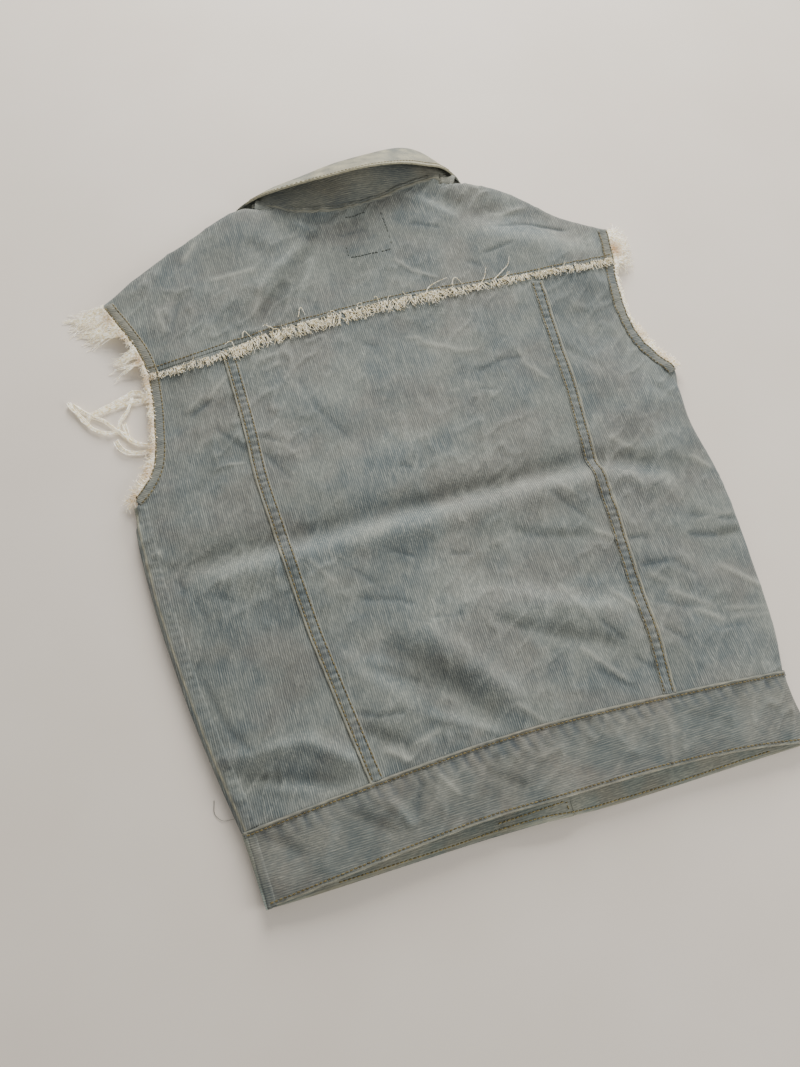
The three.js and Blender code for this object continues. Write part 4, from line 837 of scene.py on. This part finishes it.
# %% Sew the ribbons
princess_left = curve_through(PRINCESS_LEFT, RIBBON_STEP)
princess_right = curve_through(PRINCESS_RIGHT, RIBBON_STEP)
side_left = curve_through(SIDE_SEAM_LEFT, RIBBON_STEP)
armhole_left = curve_through(ARMHOLE_LEFT, RIBBON_STEP)
armhole_right = curve_through(ARMHOLE_RIGHT, RIBBON_STEP)
waist = curve_through(WAIST_SEAM, RIBBON_STEP)
hem = curve_through(BACK_HEM, RIBBON_STEP)
neck = curve_through(NECK_SEAM, RIBBON_STEP)
band_side = curve_through(BAND_SIDE, RIBBON_STEP)

strips = []
for node, name, line, section, seed, puff_height, material in (
    ("princess_seam_left", "felled_seam_left", princess_left, FELLED, 1.1, 0.5, BODY_DENIM),
    ("princess_seam_right", "felled_seam_right", princess_right, FELLED, 2.3, 0.5, BODY_DENIM),
    ("side_seam_left", "side_seam", side_left, SIDE, 3.7, 0.5, BODY_DENIM),
    ("armhole_band_left", "armhole_hem_left", armhole_left, TURNED, 4.2, 0.25, RUBBED_DENIM),
    ("armhole_band_right", "armhole_hem_right", armhole_right, TURNED, 5.9, 0.25, RUBBED_DENIM),
):
    strips.append(ribbon(name, line, section, seed, puff_height, material))
    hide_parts(node)
edgings = [
    ribbon("waist_seam_ridge", waist, RIDGE, 6.4, 0.3, BAND_DENIM),
    ribbon("neck_seam", neck, NECK, 7.3, 0.2, RUBBED_DENIM, sampled_from=1.8),
    ribbon("waistband_side_fold", band_side, BRIDGE, 8.8, 0.1, BAND_DENIM),
]
for side, points in zip(("left", "right"), NECK_ENDS):
    line = curve_through(points, RIBBON_STEP)
    edgings.append(ribbon("neck_facing_" + side, line, FACING, 9.6, 0.1, RUBBED_DENIM,
                          sampled_from=6.0))
print("felled seams:", len(strips), "other seams:", len(edgings))

# %% [markdown]
# Topstitching is a row of short loops of heavy thread, about eight to the inch. A pattern in
# the material would lie flat, and real stitches throw small shadows. One stitch is a small
# stretched ball of a few dozen faces. It is copied along each row, turned to the row's way
# and seated on the cloth, and the rows of one thread become one joined mesh. A label that
# was taken off left only its needle marks, so that row skips many stitches.

# %% Stitch rows
STITCH_PITCH = 3.2
STITCH_LENGTH = 2.9
STITCH_WIDTH = 1.15
STITCH_HEIGHT = 0.55
STITCH_WOBBLE = 0.15  # radians that a stitch lies off its row's way, at most
COLLAR_STITCHES = 70
COLLAR_INSET = 4.5  # the collar's row lies this far in from its free edge
surface = tree_over([meshes[name] for name in TOP_NODES]
                    + [piece.data for piece in strips + edgings])


def stitch_shape():
    """One stitch: a low ball, stretched along X."""
    bm = bmesh.new()
    bmesh.ops.create_uvsphere(bm, u_segments=6, v_segments=4, radius=0.5)
    quarter = Matrix.Rotation(math.pi / 2, 3, "Y")
    bmesh.ops.rotate(bm, verts=bm.verts, cent=(0, 0, 0), matrix=quarter)
    bmesh.ops.scale(bm, verts=bm.verts,
                    vec=(STITCH_LENGTH * MM, STITCH_WIDTH * MM, STITCH_HEIGHT * MM))
    mesh = bpy.data.meshes.new("stitch")
    bm.to_mesh(mesh)
    bm.free()
    return mesh


STITCH = stitch_shape()


def on_cloth(line, lift):
    """A plan line's places put on the cloth, in metres."""
    return [place(x, y, cloth_height(x, y) + lift) for x, y in line]


def sewn(name, rows, material, skip=0.0):
    """Stitches along several rows of places in space, joined in one mesh."""
    bm = bmesh.new()
    for row in rows:
        for k in range(1, len(row) - 1):
            if random.random() < skip:
                continue
            way = (row[k + 1] - row[k - 1]).normalized()
            side = Vector((0, 0, 1)).cross(way).normalized()
            up = way.cross(side)
            wobble = Matrix.Rotation(random.uniform(-STITCH_WOBBLE, STITCH_WOBBLE), 3, up)
            turn = Matrix((wobble @ way, wobble @ side, up)).transposed().to_4x4()
            start = len(bm.verts)
            bm.from_mesh(STITCH)
            bm.verts.ensure_lookup_table()
            bmesh.ops.transform(bm, matrix=Matrix.Translation(row[k]) @ turn,
                                verts=bm.verts[start:])
    mesh = bpy.data.meshes.new(name)
    bm.to_mesh(mesh)
    bm.free()
    return link(name, mesh, material)


def stitched(points, offset=0, lift=0.1):
    """A row beside a seam line, as places on the cloth a stitch apart."""
    return on_cloth(beside(curve_through(points, STITCH_PITCH), offset), lift)


collar_tree = tree_over([meshes["collar"]])


def on_collar(edge_points, inset):
    """A row along the collar's upper side, inset from its free edge."""
    row = []
    for x, y, z in edge_points:
        start = place(x, y + inset, z + 6 - inset * 0.5)
        spot, normal, _, _ = collar_tree.find_nearest(start)
        row.append(spot + normal * 0.15 * MM)
    return row


print("one stitch is", STITCH_LENGTH, "mm long")

# %% Sew the stitches
collar_ends = np.array(COLLAR_FREE_EDGE, float)
collar_steps = np.linspace(0, len(collar_ends) - 1, COLLAR_STITCHES)
collar_free = np.column_stack([
    np.interp(collar_steps, range(len(collar_ends)), collar_ends[:, k]) for k in range(3)])
gold_rows = [
    stitched(PRINCESS_LEFT, 2.4), stitched(PRINCESS_LEFT, 9.2),
    stitched(PRINCESS_RIGHT, 2.4), stitched(PRINCESS_RIGHT, 9.2),
    stitched(ARMHOLE_LEFT, 0.9), stitched(ARMHOLE_LEFT, 7.9),
    stitched(ARMHOLE_RIGHT, 0.9), stitched(ARMHOLE_RIGHT, 7.9),
    stitched(WAIST_SEAM, 2.2), stitched(BACK_HEM, -2.8), stitched(YOKE_EDGE, -4.0),
    on_collar(collar_free, COLLAR_INSET),
]
inside_rows = [stitched(FRONT_HEM_INSIDE), stitched(FRONT_LAP_END), stitched(FRONT_LAP_INNER)]
topstitching = sewn("topstitching", gold_rows, GOLD_THREAD)
sewn("inside_topstitching", inside_rows, LIGHTENED_THREAD)
sewn("needle_marks", [stitched(side) for side in LABEL_SIDES], GREY_THREAD, 0.25)
print("stitches in gold thread:", len(topstitching.data.polygons) // len(STITCH.polygons))

# %% [markdown]
# Where denim is cut and washed, the warp falls out and the weft stays as loose cream yarn.
# Hair could be grown there, but it can't be told where to tangle. Each yarn is a thin round
# curve instead, with its own root, length and way, that wanders as it goes. Real yarns are
# 0.5 mm thick. These are drawn 0.8 mm thick, so that fewer of them fill the fray.

# %% Frayed yarn
YARN_RADIUS = 0.42
WAVE_MM, WAVE_TURN = 4.5, 38  # neighbouring yarns wave together: over this far, by this angle
Yarn = namedtuple("Yarn", "x y length heading curl")
# Tan stains, worst where the wash left rust: place, reach and strength
RUST_SPOTS = [
    (-214, 124, 9, 0.6), (221, 133, 12, 0.9), (-211, 104, 14, 0.5), (-212, 84, 14, 0.4),
    (-214, 62, 14, 0.5), (-218, 42, 14, 0.55), (-226, 22, 14, 0.55), (-240, 6, 12, 0.55),
    (-222, 148, 11, 0.4), (-230, 168, 11, 0.4), (224, 16, 16, 0.4), (212, 44, 16, 0.4),
]


def yarn_path(yarn, height_at, steps=6):
    """The wandering path of one yarn, as places in millimetres."""
    x, y = yarn.x, yarn.y
    angle = math.radians(yarn.heading)
    bend = random.uniform(-yarn.curl, yarn.curl)
    rise = random.uniform(0.1, 1.0)
    path = []
    for k in range(steps + 1):
        path.append((x, y, height_at(x, y, k / steps, rise)))
        angle += math.radians(bend + random.uniform(-yarn.curl, yarn.curl)) / steps * 2
        wave = noise.noise(Vector((x / WAVE_MM, y / WAVE_MM, 2.2)))
        way = angle + math.radians(WAVE_TURN) * wave
        x += math.cos(way) * yarn.length / steps
        y += math.sin(way) * yarn.length / steps
    return path


def yarns(name, paths, material, radius=YARN_RADIUS):
    """Round yarns along paths, thinner at their tips, as one mesh."""
    curve = bpy.data.curves.new(name, "CURVE")
    curve.dimensions = "3D"
    curve.bevel_depth = radius * MM
    curve.bevel_resolution = 0
    curve.use_fill_caps = True
    for path in paths:
        spline = curve.splines.new("POLY")
        spline.points.add(len(path) - 1)
        for k, (x, y, z) in enumerate(path):
            spline.points[k].co = (*place(x, y, z), 1)
            spline.points[k].radius = 1.15 - 0.7 * k / (len(path) - 1)
    source = bpy.data.objects.new(name, curve)
    bpy.context.collection.objects.link(source)
    mesh = settled(source, name)
    across, up = in_mm(points_of(mesh))
    rust = np.zeros(len(across))
    for x, y, reach, strength in RUST_SPOTS:
        rust = np.maximum(rust, strength * (1 - np.hypot(across - x, up - y) / reach))
    paint(mesh, "rust", np.clip(rust, 0, 1))
    return link(name, mesh, material)


print("one yarn is", 2 * YARN_RADIUS, "mm thick")

# %% [markdown]
# Along the yoke's seam the yarns hang down over the back, between two measured lines. They
# lie in tufts, because yarns that were neighbours in the cloth dried together, and one in
# eight goes its own way. Six long ones have strayed up over the yoke.

# %% The yoke's fray
# Its upper and lower limit
FRAY_TOP = [(-209, 108.5), (-172, 109), (-150, 110.5), (-130, 114.5), (-117, 118), (-100, 120.5),
            (-70, 122.5), (-36, 125.5), (0, 126.3), (40, 125.8), (83, 123.8), (168, 123.3),
            (216, 124.5)]
FRAY_LOW = [(-209, 102.5), (-130, 102.5), (-117, 106.6), (-100, 108.7), (-40, 113), (0, 115.5),
            (40, 115), (83, 116), (125, 116), (216, 115.5)]
YOKE_LOOSE = [
    [(36, 122), (41, 130), (50, 134), (60, 136)], [(62, 128), (66, 134), (72, 126)],
    [(84, 120), (92, 128), (97, 138)], [(100, 124), (110, 131), (117, 136), (121, 144)],
    [(-76, 128), (-72, 136), (-70, 128)], [(-126, 121), (-124, 126), (-118, 118)],
]
YOKE_YARNS = 860
ROOT_DEPTH = 0.6  # how far below the upper limit a yarn may start, as a share of the fray
HANGING = -86  # degrees: down over the back
WILD_SHARE = 0.12
TUFT_MM, TUFT_LEAN = 11, 60  # yarns this near to each other lean together, by up to this angle


def over_cloth(x, y, share, rise):
    """Yarn that lies on the back, lifting towards its tip."""
    return cloth_height(x, y) + 0.4 + rise * (0.9 + 1.6 * share)


fray_top, fray_low = np.array(FRAY_TOP), np.array(FRAY_LOW)
yoke_paths = []
for _ in range(YOKE_YARNS):
    x = random.uniform(fray_top[0, 0], fray_top[-1, 0])
    top = float(np.interp(x, fray_top[:, 0], fray_top[:, 1]))
    room = top - float(np.interp(x, fray_low[:, 0], fray_low[:, 1]))
    start = random.random() ** 3 * ROOT_DEPTH
    uneven = 1 + 0.3 * noise.noise(Vector((x / 12, 0, 0)))
    lean = TUFT_LEAN * noise.noise(Vector((x / TUFT_MM, 3.3, 0)))
    wild = random.random() < WILD_SHARE
    heading = HANGING + lean + random.gauss(0, 50 if wild else 7)
    yoke_paths.append(yarn_path(Yarn(
        x, top - start * room, (1.06 - start) * room * uneven * random.uniform(0.8, 1.2),
        heading, 150 if wild else 30), over_cloth))
for points in YOKE_LOOSE:
    line = curve_through(points, 2.0)
    yoke_paths.append([(x, y, cloth_height(x, y) + 1.2) for x, y in line])
yoke_fray = yarns("yoke_fray", yoke_paths, CREAM_YARN)
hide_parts("yoke_fringe")
print("yoke yarns:", YOKE_YARNS)

# %% [markdown]
# Round the armholes the yarns stand out past the edge and sink to the table. The table below
# lists them in bunches from the shoulder down, and the two on the left that the wash pulled
# into points each run to one place. The long tangled bundles beside the left armhole follow
# given lines, several yarns to a bundle. One grey thread has come out of the side
# seam.

# %% The armholes' fray
Bunch = namedtuple("Bunch", "low high count shortest longest heading spread curl meet")
# meet is a place that the bunch's yarns run to, or None where they stand out by themselves
LEFT_BUNCHES = [
    Bunch(148, 181, 120, 14, 40, 0, 3, 16, (-296, 172)),
    Bunch(118, 138, 46, 10, 32, 0, 4, 16, (-266, 129)),
    Bunch(112, 181, 260, 3, 8, 180, 34, 100, None),
    Bunch(16, 114, 640, 4, 8, 184, 46, 130, None),
    Bunch(3, 34, 200, 6, 14, 190, 20, 60, None),
]
RIGHT_BUNCHES = [
    Bunch(118, 152, 110, 10, 26, -4, 14, 40, None), Bunch(112, 152, 90, 4, 9, 0, 34, 90, None),
    Bunch(48, 118, 260, 3, 6.5, 0, 40, 100, None), Bunch(6, 52, 260, 5, 13, 24, 26, 60, None),
]
# Long pulled bundles that lie on the table beside the left armhole
LEFT_LOOPS = [
    [(-214, 92), (-222, 98.5), (-233, 95.8), (-248, 90.6), (-262, 87)],
    [(-214, 90), (-227, 90.8), (-239, 90.2), (-250, 88.3), (-262, 86.6), (-266, 82)],
    [(-277, 102.5), (-269.4, 87), (-261, 74), (-252, 68), (-243.5, 67)],
    [(-274, 99), (-266, 90.5), (-260.5, 85.4), (-252, 78.5), (-244, 68)],
    [(-243, 68), (-238.7, 62), (-234.6, 56.5), (-228.5, 52), (-216, 48)],
    [(-246, 59.4), (-244.3, 53.5), (-239.8, 47.8), (-227.6, 44), (-217, 44)],
    [(-226, 94), (-231.5, 83.5), (-238.6, 76), (-241.8, 67.5)],
    [(-237, 73), (-236, 65), (-235.6, 60), (-229, 52)],
]
STRAY_LOOP = [(-229.9, -234.4), (-231.2, -244), (-227, -249.4), (-218.6, -250.5)]
LOOP_YARNS = 8
LOOP_WIDTH = 3.4
TABLE_REACH = 36  # a yarn this long reaches the table
SHORT_YARN = 16  # yarns shorter than this need fewer steps


def armhole_fray(line, bunches):
    """Yarns rooted along an armhole's edge, in bunches by height up the vest."""
    order = np.argsort(line[:, 1])
    across, up = line[order, 0], line[order, 1]
    paths = []
    for bunch in bunches:
        for _ in range(bunch.count):
            y = random.uniform(bunch.low, bunch.high)
            x = float(np.interp(y, up, across))
            heading = bunch.heading
            if bunch.meet:
                heading = math.degrees(math.atan2(bunch.meet[1] - y, bunch.meet[0] - x))
            length = random.uniform(bunch.shortest, bunch.longest)
            start = cloth_height(x, y)
            sink = min(1.0, length / TABLE_REACH)

            def height(px, py, share, rise, start=start, sink=sink):
                fallen = start * (1 - sink * share) ** 1.3
                return max(fallen + 1.8 * rise * math.sin(math.pi * share) - 0.6, 0.5)

            yarn = Yarn(x, y, length, random.gauss(heading, bunch.spread), bunch.curl)
            paths.append(yarn_path(yarn, height, 6 if length < SHORT_YARN else 10))
    return paths


def loose_bundle(points):
    """Several yarns that follow one hand-placed line, side by side and twisting."""
    line = curve_through(points, 2.5)
    paths = []
    for k in range(LOOP_YARNS):
        lane = random.uniform(-LOOP_WIDTH / 2, LOOP_WIDTH / 2)
        path = []
        for x, y in beside(line, lane):
            drift = Vector((x / 7, y / 7, k * 3.1))
            path.append((x + 0.9 * noise.noise(drift), y + 0.9 * noise.noise(drift.yzx),
                         1.2 + 1.5 * abs(noise.noise(drift.zxy * 0.5)) + 0.25 * k))
        paths.append(path)
    return paths


print("bunches:", len(LEFT_BUNCHES) + len(RIGHT_BUNCHES), "bundles:", len(LEFT_LOOPS))

# %% Grow the armholes' fray
left_paths = armhole_fray(armhole_left, LEFT_BUNCHES)
for points in LEFT_LOOPS:
    left_paths += loose_bundle(points)
stray_path = [(x, y, 0.6) for x, y in curve_through(STRAY_LOOP, 1.5)]
yarns("stray_thread", [stray_path], GREY_THREAD, radius=0.22)
left_fray = yarns("armhole_fray_left", left_paths, LOOSE_YARN)
right_paths = armhole_fray(armhole_right, RIGHT_BUNCHES)
right_fray = yarns("armhole_fray_right", right_paths, LOOSE_YARN)
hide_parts("armhole_fringe_left")
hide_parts("armhole_fringe_right")
print("armhole yarns:", len(left_paths) + len(right_paths))

# %% [markdown]
# The panels are finished last. Worn rims and puckers are painted on the points by how far
# each lies from a seam line, where a hand would rub the cloth pale. The collar's fall is
# rubbed all over in blotches, and its stand, which the fall covers, stays blue.

# %% The worn collar
COLLAR_WALL_MM = 3.5
BLOTCH_MM = 9
collar_points = points_of(meshes["collar"])
collar_x, collar_y = in_mm(collar_points)
from_edge = np.min([
    np.linalg.norm(collar_points - np.array(place(*spot)), axis=1) / MM for spot in collar_free
], axis=0)
rim = smooth_step(3.2, 1.4, from_edge)
fall = smooth_step(-1, 2, collar_y - np.interp(collar_x, collar_free[:, 0], collar_free[:, 1]))
for k, point in enumerate(collar_points):
    above = Vector(point) + Vector((0, 0, COLLAR_WALL_MM * MM))
    if collar_tree.ray_cast(above, Vector((0, 0, 1)))[0] is not None:
        fall[k] = 0
blotches = [noise.noise(Vector(point) / (BLOTCH_MM * MM)) for point in collar_points]
paint(meshes["collar"], "edge", np.maximum(0.8 * rim, (0.34 + 0.7 * np.array(blotches)) * fall))
print("collar points that are rubbed:", int((fall > 0.5).sum()))


# %% Worn rims and puckers
def near_line(mesh, line, far, close):
    """1 close to a line in plan, and 0 far from it. Both limits are in millimetres."""
    x, y = in_mm(points_of(mesh))
    away = np.min([np.hypot(x - lx, y - ly) for lx, ly in line[::2]], axis=0)
    return smooth_step(far, close, away)


band = meshes["waistband_back"]
paint(band, "pucker", 1.1 * near_line(band, waist, 15, 10) * band_dips)
paint(band, "edge", 0.4 * near_line(band, hem, 1.9, 0.6))
front_hem = curve_through(FRONT_HEM, RIBBON_STEP)
for node in ("waistband_front_left", "waistband_front_right"):
    paint(meshes[node], "edge", 0.35 * near_line(meshes[node], front_hem, 1.9, 0.6))
print("bands painted")

# %% [markdown]
# Each piece of cloth goes with the vest's one body, in place of its solid. The buttons are cast
# metal and come from the solids as they are, with a finish.

for cloth in CLOTHS:
    mesh = meshes[cloth.node]
    piece = link(cloth.node + "_cloth", mesh, cloth.material)
    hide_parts(cloth.node)
for k in range(1, 7):
    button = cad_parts[f"button_{k}"]
    button.data.materials.clear()
    button.data.materials.append(BRASS)
print("sheets:", len(CLOTHS))

# %% [markdown]
# The table is painted board: off white, faintly uneven, and dull. A large soft light stands
# beyond the collar, as a window does, so the folds show. A weaker one stands beyond the hem on
# the right, and an even light from all round fills the shadows.

# %% Table and light
TABLE_SIZE = 4.0
DAYLIGHT = (1.0, 0.97, 0.93)
ROOM_LIGHT, ROOM_STRENGTH = (1.0, 0.98, 0.95, 1), 0.46


def painted_board():
    """Matt paint, a little warmer and darker in broad patches."""
    material, tree, shader = new_material("matt off-white paint")
    position = add(tree, "ShaderNodeTexCoord").outputs["Object"]
    patches = add(tree, "ShaderNodeTexNoise", {
        "Vector": position, "Scale": 9.0, "Detail": 4.0}).outputs[0]
    colour = mix(tree, patches, hex_colour("#dbd2c6"), hex_colour("#e6dfd5"))
    tree.links.new(colour, shader.inputs["Base Color"])
    shader.inputs["Roughness"].default_value = 0.6
    shader.inputs["Specular IOR Level"].default_value = 0.3
    return material


bm = bmesh.new()
bmesh.ops.create_grid(bm, x_segments=2, y_segments=2, size=TABLE_SIZE / 2)
table_mesh = bpy.data.meshes.new("table_top")
bm.to_mesh(table_mesh)
bm.free()
table_mesh.materials.append(painted_board())
table_top = bpy.data.objects.new("table_top", table_mesh)
table_top.location = (0, 0, -0.05 * MM)
bpy.context.collection.objects.link(table_top)


def soft_light(name, place_m, size, power):
    """A square light, in metres and watts, that faces the middle of the vest."""
    data = bpy.data.lights.new(name, "AREA")
    data.size = size
    data.energy = power
    data.color = DAYLIGHT
    light = bpy.data.objects.new(name, data)
    light.location = place_m
    light.rotation_euler = (-Vector(place_m)).to_track_quat("-Z", "Y").to_euler()
    bpy.context.collection.objects.link(light)


soft_light("window", (0.42, 1.48, 0.84), size=1.0, power=50)
soft_light("second_window", (1.3, -0.7, 0.8), size=0.8, power=15)
world = bpy.data.worlds.new("room")
world.use_nodes = True
world.node_tree.nodes["Background"].inputs[0].default_value = ROOM_LIGHT
world.node_tree.nodes["Background"].inputs[1].default_value = ROOM_STRENGTH
bpy.context.scene.world = world
print("table and light ready")
